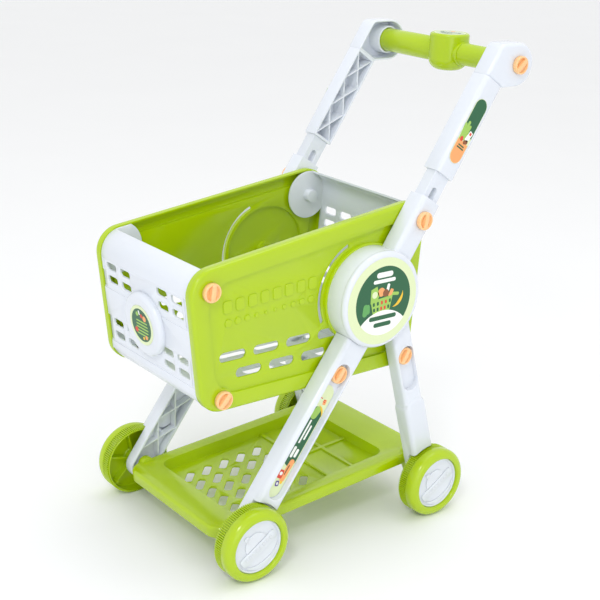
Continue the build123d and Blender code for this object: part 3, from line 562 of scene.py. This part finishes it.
def ring_tree(name):
    """Geometry Nodes tree: copies the piece in a ring about the X axis."""
    tree = bpy.data.node_groups.new(name, "GeometryNodeTree")
    socket = tree.interface.new_socket
    socket("Geometry", in_out="INPUT", socket_type="NodeSocketGeometry")
    socket("Count", in_out="INPUT", socket_type="NodeSocketInt")
    socket("Start angle", in_out="INPUT", socket_type="NodeSocketFloat")
    socket("Material", in_out="INPUT", socket_type="NodeSocketMaterial")
    socket("Geometry", in_out="OUTPUT", socket_type="NodeSocketGeometry")
    given = add_node(tree, "NodeGroupInput").outputs
    points = add_node(tree, "GeometryNodePoints", {}, {"Count": given["Count"]})
    index = add_node(tree, "GeometryNodeInputIndex")
    step = add_node(tree, "ShaderNodeMath", {"operation": "DIVIDE", 0: 2 * pi}, {1: given["Count"]})
    angle = add_node(tree, "ShaderNodeMath", {"operation": "MULTIPLY_ADD"},
                     {0: index.outputs[0], 1: step.outputs[0], 2: given["Start angle"]})
    turn = add_node(tree, "ShaderNodeCombineXYZ", {}, {"X": angle.outputs[0]})
    copies = add_node(tree, "GeometryNodeInstanceOnPoints", {},
                      {"Points": points.outputs[0], "Instance": given["Geometry"],
                       "Rotation": turn.outputs[0]})
    real = add_node(tree, "GeometryNodeRealizeInstances", {}, {"Geometry": copies.outputs[0]})
    coloured = add_node(tree, "GeometryNodeSetMaterial", {},
                        {"Geometry": real.outputs[0], "Material": given["Material"]})
    add_node(tree, "NodeGroupOutput", {}, {"Geometry": coloured.outputs[0]})
    return tree


def ring_of(mesh, count, start_angle, material):
    """Mesh of count copies round the X axis."""
    tree = bpy.data.node_groups.get("Ring pattern") or ring_tree("Ring pattern")
    holder = bpy.data.objects.new("ring", mesh)
    bpy.context.scene.collection.objects.link(holder)
    pattern = holder.modifiers.new("ring", "NODES")
    pattern.node_group = tree
    values = {"Count": count, "Start angle": radians(start_angle), "Material": material}
    for item in tree.interface.items_tree:
        if item.in_out == "INPUT" and item.name in values:
            pattern[item.identifier] = values[item.name]
    graph = bpy.context.evaluated_depsgraph_get()
    result = bpy.data.meshes.new_from_object(holder.evaluated_get(graph))
    bpy.data.objects.remove(holder)
    return result


# turns a plate drawn in its own plane so that it faces +X: across is +Y, up is +Z
FACING_LEFT = Matrix(((0, 0, 1, 0), (1, 0, 0, 0), (0, 1, 0, 0), (0, 0, 0, 1)))
# the same, mirrored to face -X, so a mesh that it turns needs its normals flipped
FACING_RIGHT = Matrix(((0, 0, -1, 0), (1, 0, 0, 0), (0, 1, 0, 0), (0, 0, 0, 1)))
SPOKE_COUNT = 6
SPOKE_START = 15
FACE_DEPTH = 8 * MM
WEB_WALL = 3 * MM


def tread_rib(radius, height, wheel_radius, start, end):
    """One fine cross rib of the tread, lying along X at the top of the wheel."""
    crown = wheel_radius - radius
    foot = wheel_radius - height - 0.2 * MM
    outline = arc_points((0, crown), radius, 0, 180, 6) + [(-radius, foot), (radius, foot)]
    rib = plate(outline, start, end, finish("lime_abs"))
    rib.transform(FACING_LEFT)
    return rib


def wheel_profile(width, radius, ribbed_end, web, inside):
    """Section of the left wheel as (x, radius) points: tread, shoulder, recessed face, hub tube, skirt."""
    shoulder = 9 * MM
    valley = radius - sizes().rib_height
    opening = 33.7 * MM
    seat = web + WEB_WALL
    tube_start, tube_end = 6.4 * MM, 15 * MM
    bore, step_bore, tube = 3.1 * MM, 7 * MM, 10 * MM
    profile = [(0, inside), (0, valley - 0.6 * MM), (0.6 * MM, valley), (ribbed_end, valley)]
    profile += [(ribbed_end + 0.4 * MM, radius - 0.2 * MM), (ribbed_end + 0.9 * MM, radius)]
    profile += arc_points((width - shoulder, radius - shoulder), shoulder, 90, 14, 9)
    profile += [(width, opening + 1.6 * MM), (width - 0.5 * MM, opening + 0.5 * MM)]
    profile += [(width - 1.2 * MM, opening), (seat, opening)]
    profile += [(seat, step_bore), (tube_end, step_bore), (tube_end, bore), (tube_start, bore)]
    profile += [(tube_start, tube - 0.6 * MM), (tube_start + 0.6 * MM, tube), (web - 1 * MM, tube)]
    profile += [(web, tube + 1 * MM), (web, inside - 1.5 * MM), (web - 1.5 * MM, inside)]
    return profile


def wheel_spokes(web, inside, lime):
    """Walls and screw bosses in a ring inside the left wheel."""
    hub_gap = 9.2 * MM
    outline = rounded_box((0, 0), 1.6 * MM, inside - 8.5 * MM, 0.3 * MM, 0, 2)
    wall = plate(outline, 8 * MM, web + 0.5 * MM, lime)
    wall.transform(Matrix.Translation((0, 0, (inside + hub_gap) / 2)) @ FACING_LEFT)
    boss = plate(circle((0, 0), 2.1 * MM, 16), 6 * MM, web + 0.5 * MM, lime, 0.4 * MM)
    boss.transform(Matrix.Translation((web + 6.5 * MM, 0, inside - 4 * MM)) @ FACING_RIGHT)
    boss.flip_normals()
    return [ring_of(wall, SPOKE_COUNT, SPOKE_START, lime), ring_of(boss, SPOKE_COUNT, SPOKE_START, lime)]


def wheel_mesh(width, radius):
    """Left wheel about its axle, its inner side at x = 0."""
    size = sizes()
    lime = finish("lime_abs")
    ribbed_end = width * size.rib_share
    web = width - FACE_DEPTH - WEB_WALL
    inside = radius - 3 * MM
    body = lathe(wheel_profile(width, radius, ribbed_end, web, inside), 96)
    body.materials.append(lime)
    rib = tread_rib(size.rib_radius, size.rib_height, radius, 0.8 * MM, ribbed_end)
    tread = ring_of(rib, size.rib_count, 0, lime)
    shapes = [body, tread] + wheel_spokes(web, inside, lime)
    mesh = joined("wheel", [(shape, Matrix.Identity(4)) for shape in shapes])
    smooth(mesh, 40)
    return mesh


def placed(mesh, name, place, left):
    """Copy of a left-hand mesh moved to its place, mirrored for the right-hand side."""
    copy = mesh.copy()
    copy.name = name
    copy.transform(Matrix.Translation(place))
    return copy if left else mirrored(copy)


class CART_OT_wheels(bpy.types.Operator):
    """Four wheels with ribbed treads"""

    bl_idname = "cart.wheels"
    bl_label = "Wheels"

    def execute(self, context):
        low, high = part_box("front_wheel_left")
        mesh = wheel_mesh(high.x - low.x, (high.z - low.z) / 2)
        for end in ("front", "rear"):
            near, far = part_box(f"{end}_wheel_left")
            place = Vector((near.x, (near.y + far.y) / 2, (near.z + far.z) / 2))
            for side in SIDES:
                node = f"{end}_wheel_{side}"
                copy = placed(mesh, f"{node}_moulding", place, side == "left")
                new_piece(f"{node}_moulding", copy, body_of_node(node), node, slot="green_plastic")
        return {"FINISHED"}


def lens(first, first_radius, second, second_radius, steps=16):
    """Outline of what two circles share."""
    gap = hypot(second[0] - first[0], second[1] - first[1])
    heading = atan2(second[1] - first[1], second[0] - first[0]) * 180 / pi
    share = (gap ** 2 + first_radius ** 2 - second_radius ** 2) / (2 * gap)
    half = (first_radius ** 2 - share ** 2) ** 0.5
    opening = atan2(half, share) * 180 / pi
    back = atan2(half, gap - share) * 180 / pi
    outer = arc_points(first, first_radius, heading - opening, heading + opening, steps)
    inner = arc_points(second, second_radius, heading + 180 - back, heading + 180 + back, steps)
    return outer + inner[1:-1]


def cap_body(thickness, radius, face):
    """Round rim and dished face of a wheel cap, its back at x = 0."""
    round_edge = 1.2 * MM
    profile = [(0, 0), (0, radius - 0.4 * MM), (0.4 * MM, radius)]
    profile += arc_points((thickness - round_edge, radius - round_edge), round_edge, 90, 0, 5)
    profile += [(thickness, radius - 1.9 * MM), (thickness - 0.4 * MM, radius - 2.3 * MM)]
    profile += [(face + 0.2 * MM, radius - 2.7 * MM), (face, radius - 3.2 * MM), (face, 0)]
    return lathe(profile, 96)


def cap_mesh(thickness, radius):
    """Left wheel cap about its axle: raised band with pips, half disc and crescent on a dished face."""
    white = finish("white_abs")
    face = thickness - 2.8 * MM
    top = face + 2.0 * MM
    tilt = 33
    middle = (2 * MM, -4 * MM)
    body = cap_body(thickness, radius, face)
    body.materials.append(white)
    shapes = [(body, Matrix.Identity(4))]
    relief = [
        (rounded_box(middle, 55 * MM, 12 * MM, 3 * MM, tilt), top),
        (arc_points((-1 * MM, 2 * MM), 15.5 * MM, tilt, tilt + 180, 20), top - 0.6 * MM),
        (rounded_box((-13.5 * MM, 11 * MM), 9 * MM, 6 * MM, 1 * MM, tilt - 90), top - 0.9 * MM),
        (crescent((3 * MM, -4 * MM), 27 * MM, tilt - 168, tilt - 30, 7 * MM), top - 0.4 * MM),
    ]
    for outline, height in relief:
        shapes.append((plate(outline, face - 0.5 * MM, height, white, 0.45 * MM), FACING_LEFT))
    pip_count, pip_step = 8, 5.6 * MM
    for index in range(pip_count):
        reach = (index - (pip_count - 1) / 2) * pip_step
        centre = (middle[0] + reach * cos(radians(tilt)), middle[1] + reach * sin(radians(tilt)))
        outline = rounded_box(centre, 3.4 * MM, 5 * MM, 1.4 * MM, tilt)
        shapes.append((plate(outline, face, top + 0.5 * MM, white, 0.35 * MM), FACING_LEFT))
    mesh = joined("cap", shapes)
    smooth(mesh, 35)
    return mesh


class CART_OT_caps(bpy.types.Operator):
    """White caps in the wheels"""

    bl_idname = "cart.caps"
    bl_label = "Wheel caps"

    def execute(self, context):
        low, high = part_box("front_wheel_cap_left")
        mesh = cap_mesh(high.x - low.x, (high.z - low.z) / 2)
        for end in ("front", "rear"):
            near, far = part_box(f"{end}_wheel_cap_left")
            place = Vector((near.x, (near.y + far.y) / 2, (near.z + far.z) / 2))
            for side in SIDES:
                node = f"{end}_wheel_cap_{side}"
                copy = placed(mesh, f"{node}_moulding", place, side == "left")
                new_piece(f"{node}_moulding", copy, body_of_node(node), node, slot="white_plastic")
        return {"FINISHED"}


# ---------------------------------------------------------------- operators: screws and steel


def thumb_screw(length, head_radius, head_height, shank_radius, bar_angle):
    """Left thumb screw about its own axis, shank tip at x = 0: dished head with a raised finger bar."""
    orange = finish("orange_abs")
    seat = length - head_height
    rim = length - 0.9 * MM
    profile = [(0, 0), (0, shank_radius - 0.5 * MM), (0.6 * MM, shank_radius), (seat, shank_radius)]
    profile += [(seat, head_radius - 0.7 * MM), (seat + 0.7 * MM, head_radius)]
    profile += arc_points((rim - 1.6 * MM, head_radius - 1.6 * MM), 1.6 * MM, 90, 0, 6)
    profile += [(rim - 0.2 * MM, head_radius - 2.2 * MM), (seat + 3.4 * MM, head_radius - 3.0 * MM)]
    profile += [(seat + 2.7 * MM, head_radius - 4.2 * MM), (seat + 2.5 * MM, 0)]
    head = lathe(profile, 48)
    head.materials.append(orange)
    outline = rounded_box((0, 0), 2 * head_radius - 1.6 * MM, 5.4 * MM, 2.6 * MM, bar_angle, 7)
    bar = plate(outline, seat + 1.5 * MM, length, orange, 1.2 * MM)
    mesh = joined("thumb_screw", [(head, Matrix.Identity(4)), (bar, FACING_LEFT)])
    smooth(mesh, 50)
    return mesh


class CART_OT_thumb_screws(bpy.types.Operator):
    """Orange thumb screws of the panels, legs and arms"""

    bl_idname = "cart.thumb_screws"
    bl_label = "Thumb screws"

    def execute(self, context):
        head_radius, head_height, shank_radius = 11 * MM, 7 * MM, 3 * MM
        turned = 0
        # each bar stops at another angle, as hand-tightened screws do
        bar_angle, bar_swing = 60, 24
        for node in SCREW_NODES:
            parts = []
            for low, high in solid_boxes(node):
                middle = (low + high) / 2
                left = middle.x > 0
                tip = low.x if left else -high.x
                angle = bar_angle + bar_swing * sin(turned)
                screw = thumb_screw(high.x - low.x, head_radius, head_height, shank_radius, angle)
                spot = Vector((tip, middle.y, middle.z))
                parts.append((placed(screw, "screw", spot, left), Matrix.Identity(4)))
                turned += 2
            mesh = joined(f"{node}_mouldings", parts)
            smooth(mesh, 50)
            new_piece(f"{node}_mouldings", mesh, body_of_node(node), node, slot="orange_plastic")
        return {"FINISHED"}


class CART_OT_fasteners(bpy.types.Operator):
    """Axle pins with their collars, and the steel screws, nuts and bolts"""

    bl_idname = "cart.fasteners"
    bl_label = "Axles and steel"

    def execute(self, context):
        soft_shell("axle_pins", finish("amber_nylon"), sizes().edge_radius / 2)
        for node in STEEL_NODES:
            mesh = frame["nodes"][node].data
            mesh.materials.clear()
            mesh.materials.append(finish("zinc_steel"))
        return {"FINISHED"}


# ---------------------------------------------------------------- operators: printed labels


def label_place(node, toward, along=None):
    """Place of a label's outer face, in millimetres, and its half sizes.

    The first axis runs along the label and the third points outward.
    """
    mesh = frame["nodes"][node].data
    toward = Vector(toward)
    normal = Vector((0, 0, 0))
    for face in mesh.polygons:
        if face.normal.dot(toward) > 0.8:
            normal += face.normal * face.area
    normal.normalize()
    points = [v.co.copy() for v in mesh.vertices]
    height = max(p.dot(normal) for p in points)
    outer = [p for p in points if p.dot(normal) > height - 0.00005]
    middle = Vector((min(p[i] for p in outer) + max(p[i] for p in outer)) / 2 for i in range(3))
    if along is None:
        far = max(outer, key=lambda p: (p - middle).length + 0.001 * p.z)
        cap = [p for p in outer if (p - far).length < 0.004]
        end = sum(cap, Vector()) / len(cap)
        along = (end - middle) * (1 if end.z > middle.z else -1)
    first = (Vector(along) - normal * normal.dot(Vector(along))).normalized()
    second = normal.cross(first)
    half = [max(abs((p - middle).dot(axis)) for p in outer) / MM for axis in (first, second)]
    place = Matrix((first * MM, second * MM, normal * MM)).transposed().to_4x4()
    place.translation = middle + normal * (height - middle.dot(normal))
    return place, half


def printed(name, nodes, place, backing, art):
    """Label on one node, or on a left and right pair, from a backing outline and its printed shapes."""
    layer = sizes().art_layer / MM
    plates = [(plate(backing, -0.4, 0.1, finish("print_cream"), 0.08), place)]
    for outline, level, colour in art:
        plates.append((plate(outline, -0.05, layer * level, finish(f"print_{colour}")), place))
    mesh = joined(name, plates)
    for node in nodes:
        copy = mesh if node.endswith("left") or len(nodes) == 1 else mirrored(mesh)
        new_piece(f"{node}_print", copy, body_of_node(node), node, slot="printed_label")


def bars(centre, widths, height, gap, tilt, level, colour):
    """Rows of short bars in place of words."""
    art = []
    turn = radians(tilt)
    for row, width in enumerate(widths):
        drop = -row * (height + gap)
        place = (centre[0] - drop * sin(turn), centre[1] + drop * cos(turn))
        art.append((rounded_box(place, width, height, min(width, height) * 0.45, tilt, 3), level, colour))
    return art


def basket_art(centre, scale, level):
    """Shopping basket with produce."""
    def spot(a, b):
        return (centre[0] + a * scale, centre[1] + b * scale)

    art = [
        ([spot(-17, 17), spot(-8, 20), spot(-4, 8), spot(-8, -2), spot(-17, 0)], level, "lime"),
        (circle(spot(-11, 10), 4.2 * scale, 20), level + 0.5, "cream"),
        (circle(spot(-1, 12), 5.4 * scale, 24), level, "peach"),
        (circle(spot(6, 10), 4.6 * scale, 24), level + 0.5, "brown"),
        (rounded_box(spot(9, 15), 4 * scale, 12 * scale, 1.8 * scale, -12), level, "white"),
        (rounded_box(spot(14, 9), 5 * scale, 10 * scale, 1.5 * scale, -28), level + 0.5, "peach"),
        (rounded_box(spot(20, 7), 14 * scale, 4 * scale, 1.9 * scale, -8), level, "lime"),
        ([spot(-17, 3), spot(17, 6), spot(12, -17), spot(-11, -19)], level + 1, "lime"),
    ]
    for row, (start, end, drop) in enumerate(((-12, 13, -1), (-11, 11, -8), (-9, 9, -14.5))):
        for column in range(5):
            across = start + (end - start) * column / 4
            colour = "red" if row < 2 and column in (2, 3) else "leaf"
            middle = spot(across, drop + 0.06 * across)
            hole = rounded_box(middle, 3 * scale, 4.4 * scale, 0.8 * scale, 6, 3)
            art.append((hole, level + 1.5, colour))
    return art


class CART_OT_hub_labels(bpy.types.Operator):
    """Round hub labels: ring, basket with produce and bars in place of words"""

    bl_idname = "cart.hub_labels"
    bl_label = "Hub labels"

    def execute(self, context):
        place, (radius, _) = label_place("hub_label_left", (1, 0, 0), (0, 1, 0))
        disc = radius - 6.8
        art = [(circle((0, 0), disc, 72), 1, "leaf")]
        art.append((lens((0, 0), disc + 0.2, (0, -59), 47, 24), 4.4, "white"))
        art += bars((0, 32), (25,), 6.5, 0, 0, 2, "white")
        art += bars((0, 24.4), (34,), 4.4, 0, 0, 2, "white")
        art += bars((0, -20.5), (42, 27), 5.4, 3.2, 0, 5.4, "leaf")
        art += basket_art((-3, -1), 1.0, 2)
        art.append((capsule((-28, -12), (-27, -4), 3.6), 2, "fern"))
        art.append((capsule((-23.5, -10), (-24, -4), 3.0), 2.5, "fern"))
        art.append((crescent((17, 3), 13.5, -100, 20, 4.2), 2.5, "yellow"))
        backing = circle((-1.2, -0.6), radius + 4.0, 96)
        printed("hub_label", ("hub_label_left", "hub_label_right"), place, backing, art)
        return {"FINISHED"}


class CART_OT_leg_labels(bpy.types.Operator):
    """Long leg labels: dark and orange capsules with bars in place of words"""

    bl_idname = "cart.leg_labels"
    bl_label = "Leg labels"

    def execute(self, context):
        place, (half, wide) = label_place("leg_label_left", (1, 0, 0))
        backing = capsule((-half + wide, 0), (half - wide, 0), wide, 16)
        art = [(capsule((-half * 0.32, -1.0), (half * 0.5, -1.0), wide * 0.8), 1, "leaf")]
        art.append((capsule((half * 0.46, 0.8), (half * 0.56, -0.6), wide * 0.42), 2, "lime"))
        art.append((crescent((half * 0.5, 0), wide * 0.92, -95, 8, 2.6), 2.5, "yellow"))
        art += bars((half * 0.72, -3.4), (4, 4), 1.1, 1.0, 90, 2, "red")
        art.append((rounded_box((half * 0.72, -4.2), 6.5, 5.0, 0.8, 12), 1, "peach"))
        art.append((rounded_box((half * 0.76, 3.6), 1.2, 5.0, 0.5, 0), 1, "red"))
        art += bars((half * 0.17, 0.6), (half * 0.42, half * 0.26), 2.6, 2.2, 0, 2, "white")
        art += bars((-half * 0.2, 1.2), (half * 0.2, half * 0.15), 4.0, 1.6, 0, 2, "white")
        art.append((capsule((-half * 0.66, -4.4), (-half * 0.36, -5.4), wide * 0.34), 2, "peach"))
        art += bars((-half * 0.5, -4.0), (half * 0.18,), 1.6, 0, -2, 3, "brown")
        art.append((rounded_box((-half * 0.6, 1.6), 11, 7.6, 1.8, 8), 2.5, "red"))
        art.append((circle((-half * 0.59, 1.4), 2.3, 20), 3, "white"))
        art.append((circle((-half * 0.72, -5.4), 2.0, 20), 3, "yellow"))
        art.append((rounded_box((-half * 0.76, -0.8), 7, 5.4, 1.6, 20), 2, "plum"))
        art.append((rounded_box((-half * 0.76, -0.8), 3.4, 2.2, 0.9, 20), 3, "white"))
        printed("leg_label", ("leg_label_left", "leg_label_right"), place, backing, art)
        return {"FINISHED"}


class CART_OT_arm_labels(bpy.types.Operator):
    """Arm labels: dark top, leaves, a carton and a warm foot"""

    bl_idname = "cart.arm_labels"
    bl_label = "Arm labels"

    def execute(self, context):
        place, (half, wide) = label_place("arm_label_left", (1, 0, 0))
        straight = half - wide
        backing = capsule((-straight, 0), (straight, 0), wide, 16)
        top = arc_points((straight, 0), wide - 0.4, -90, 90, 16) + [(-6, wide - 0.4), (-6, 0.4 - wide)]
        foot = arc_points((-straight, 0), wide - 0.4, 90, 270, 16) + [(-15, 0.4 - wide), (-13, wide - 0.4)]
        art = [(top, 1, "leaf"), (foot, 1, "peach")]
        for index, reach in enumerate((17, 20, 15)):
            start = (-12 + index, 7.5 - 3.2 * index)
            end = (start[0] + reach, start[1] + 1.5 - index)
            art.append((capsule(start, end, 2.0), 2 + index / 3, "lime"))
        art.append((rounded_box((-5, -4.5), 13, 6.5, 1.2, -14), 3, "white"))
        art.append((rounded_box((-1.6, -5.2), 3.6, 3.6, 0.8, -14), 3.5, "red"))
        art.append((rounded_box((-13, -3.6), 5, 7.5, 1.6, 24), 3, "brown"))
        art.append((circle((-12, 4.6), 3.0, 20), 2.5, "red"))
        art += bars((-19.5, 0), (11, 13), 1.7, 1.3, -90, 2, "leaf")
        printed("arm_label", ("arm_label_left", "arm_label_right"), place, backing, art)
        return {"FINISHED"}


class CART_OT_badges(bpy.types.Operator):
    """Round prints on the front badge and on the handle drum"""

    bl_idname = "cart.badges"
    bl_label = "Front and drum labels"

    def execute(self, context):
        place, (radius, _) = label_place("front_label", (0, -1, 0), (1, 0, 0))
        disc = radius * 0.84
        art = [(circle((0, 0), disc, 64), 1, "leaf")]
        for row in range(5):
            art += bars((1.5, 4.5 - row * 4), (disc * (1.25 - 0.06 * abs(row - 2)),), 1.7, 0, 0, 2, "lime")
        for index, (across, up, size, colour) in enumerate((
            (8, 10, 3.4, "peach"), (2, 12, 2.4, "red"), (-7, 12.5, 2.6, "lime"), (-11, -8, 3.2, "red"),
            (9, -13, 2.6, "peach"), (3, -15.5, 1.9, "yellow"),
        )):
            art.append((circle((across, up), size, 20), 2.5 + index * 0.1, colour))
        art.append((rounded_box((-2.5, 15), 2.4, 5.5, 1.1, 20), 2, "white"))
        printed("front_label", ("front_label",), place, circle((0, 0), radius, 72), art)
        place, (radius, _) = label_place("drum_label", (0, 0, 1), (1, 0, 0))
        art = [(circle((0, 0), radius * 0.9, 56), 1, "sage")]
        art.append((rounded_box((0, 1), radius * 1.45, 5.6, 2.7, 18), 2, "leaf"))
        art += bars((0.6, 1.2), (radius * 1.0,), 1.7, 0, 18, 3, "white")
        art += bars((2, -8.5), (radius * 0.8, radius * 0.5), 1.9, 1.6, 18, 2, "leaf")
        art.append((circle((-5, 10.5), 3.0, 20), 2, "peach"))
        printed("drum_label", ("drum_label",), place, circle((0, 0), radius, 64), art)
        return {"FINISHED"}


# ---------------------------------------------------------------- operators: stage


def aimed(name, kind, place, target, settings):
    """Light at a place that looks at a target."""
    light = bpy.data.lights.new(name, kind)
    for key, value in settings.items():
        setattr(light, key, value)
    lamp = bpy.data.objects.new(name, light)
    lamp.location = place
    lamp.rotation_euler = (Vector(target) - Vector(place)).to_track_quat("-Z", "Y").to_euler()
    bpy.context.scene.collection.objects.link(lamp)
    return lamp


FLOOR_HALF = 30.0
SKY_STRENGTH = 0.96


class CART_OT_stage(bpy.types.Operator):
    """Floor, soft lights, sky and camera"""

    bl_idname = "cart.stage"
    bl_label = "Studio"

    def execute(self, context):
        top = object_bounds()[1][2]
        middle = Vector((0, 0, top * 0.45))
        soup = bmesh.new()
        bmesh.ops.create_grid(soup, x_segments=1, y_segments=1, size=FLOOR_HALF)
        ground = bpy.data.meshes.new("studio_floor")
        soup.to_mesh(ground)
        soup.free()
        ground.materials.append(finish("studio_floor"))
        floor = bpy.data.objects.new("studio_floor", ground)
        context.scene.collection.objects.link(floor)
        lights = [
            aimed("key_light", "AREA", (1.2, -1.5, 1.9), middle, {"energy": 12, "size": 0.4}),
            aimed("fill_light", "AREA", (2.4, -0.9, 0.7), middle, {"energy": 8, "size": 1.6}),
            aimed("top_light", "AREA", (0.1, 0.4, 2.4), middle, {"energy": 7, "size": 1.2}),
        ]
        sky = bpy.data.worlds.new("soft_sky")
        sky.use_nodes = True
        sky.node_tree.nodes["Background"].inputs["Color"].default_value = (1.0, 1.0, 1.0, 1.0)
        sky.node_tree.nodes["Background"].inputs["Strength"].default_value = SKY_STRENGTH
        context.scene.world = sky
        context.scene.view_settings.view_transform = "Standard"
        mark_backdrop(floor, *lights)
        self.camera(context)
        return {"FINISHED"}

    def camera(self, context):
        """Camera with its own lens and tilt."""
        view = context.scene.cart_view
        azimuth, elevation, roll = (radians(a) for a in (view.azimuth, view.elevation, view.roll))
        back = Vector((sin(azimuth) * cos(elevation), -cos(azimuth) * cos(elevation), sin(elevation)))
        right = Vector((cos(azimuth), sin(azimuth), 0))
        up = back.cross(right)
        tilted_right = right * cos(roll) + up * sin(roll)
        tilted_up = up * cos(roll) - right * sin(roll)
        eye = bpy.data.cameras.new("view_camera")
        eye.lens = view.lens
        eye.sensor_width = 36.0
        eye.clip_start = 0.05
        camera = bpy.data.objects.new("view_camera", eye)
        turn = Matrix((tilted_right, tilted_up, back)).transposed().to_4x4()
        camera.matrix_world = Matrix.Translation(view.location) @ turn
        context.scene.collection.objects.link(camera)
        context.scene.camera = camera


# ---------------------------------------------------------------- panel and running


SETTINGS = (CartSizes, CartColours, CartView)
OPERATORS = (
    CART_OT_shells, CART_OT_wheels, CART_OT_caps, CART_OT_thumb_screws, CART_OT_fasteners,
    CART_OT_hub_labels, CART_OT_leg_labels, CART_OT_arm_labels, CART_OT_badges, CART_OT_stage,
)


class CART_PT_builder(bpy.types.Panel):
    """Buttons for each group of pieces"""

    bl_idname = "CART_PT_builder"
    bl_label = "Toy shopping cart"
    bl_space_type = "VIEW_3D"
    bl_region_type = "UI"
    bl_category = "Cart"

    def draw(self, context):
        scene = context.scene
        for group in (scene.cart_sizes, scene.cart_colours, scene.cart_view):
            box = self.layout.box()
            for name in group.__annotations__:
                box.prop(group, name)
        for operator in OPERATORS:
            self.layout.operator(operator.bl_idname)


def register():
    """Register the settings, operators and panel."""
    for kind in SETTINGS + OPERATORS + (CART_PT_builder,):
        bpy.utils.register_class(kind)
    bpy.types.Scene.cart_sizes = bpy.props.PointerProperty(type=CartSizes)
    bpy.types.Scene.cart_colours = bpy.props.PointerProperty(type=CartColours)
    bpy.types.Scene.cart_view = bpy.props.PointerProperty(type=CartView)


def unregister():
    """Remove what register added."""
    del bpy.types.Scene.cart_sizes
    del bpy.types.Scene.cart_colours
    del bpy.types.Scene.cart_view
    for kind in reversed(SETTINGS + OPERATORS + (CART_PT_builder,)):
        bpy.utils.unregister_class(kind)


def build_cart():
    """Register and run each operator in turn."""
    register()
    for operator in OPERATORS:
        group, name = operator.bl_idname.split(".")
        result = getattr(getattr(bpy.ops, group), name)()
        if result != {"FINISHED"}:
            raise RuntimeError(f"{operator.bl_idname} did not finish")


if __name__ == "__main__":
    build_cart()
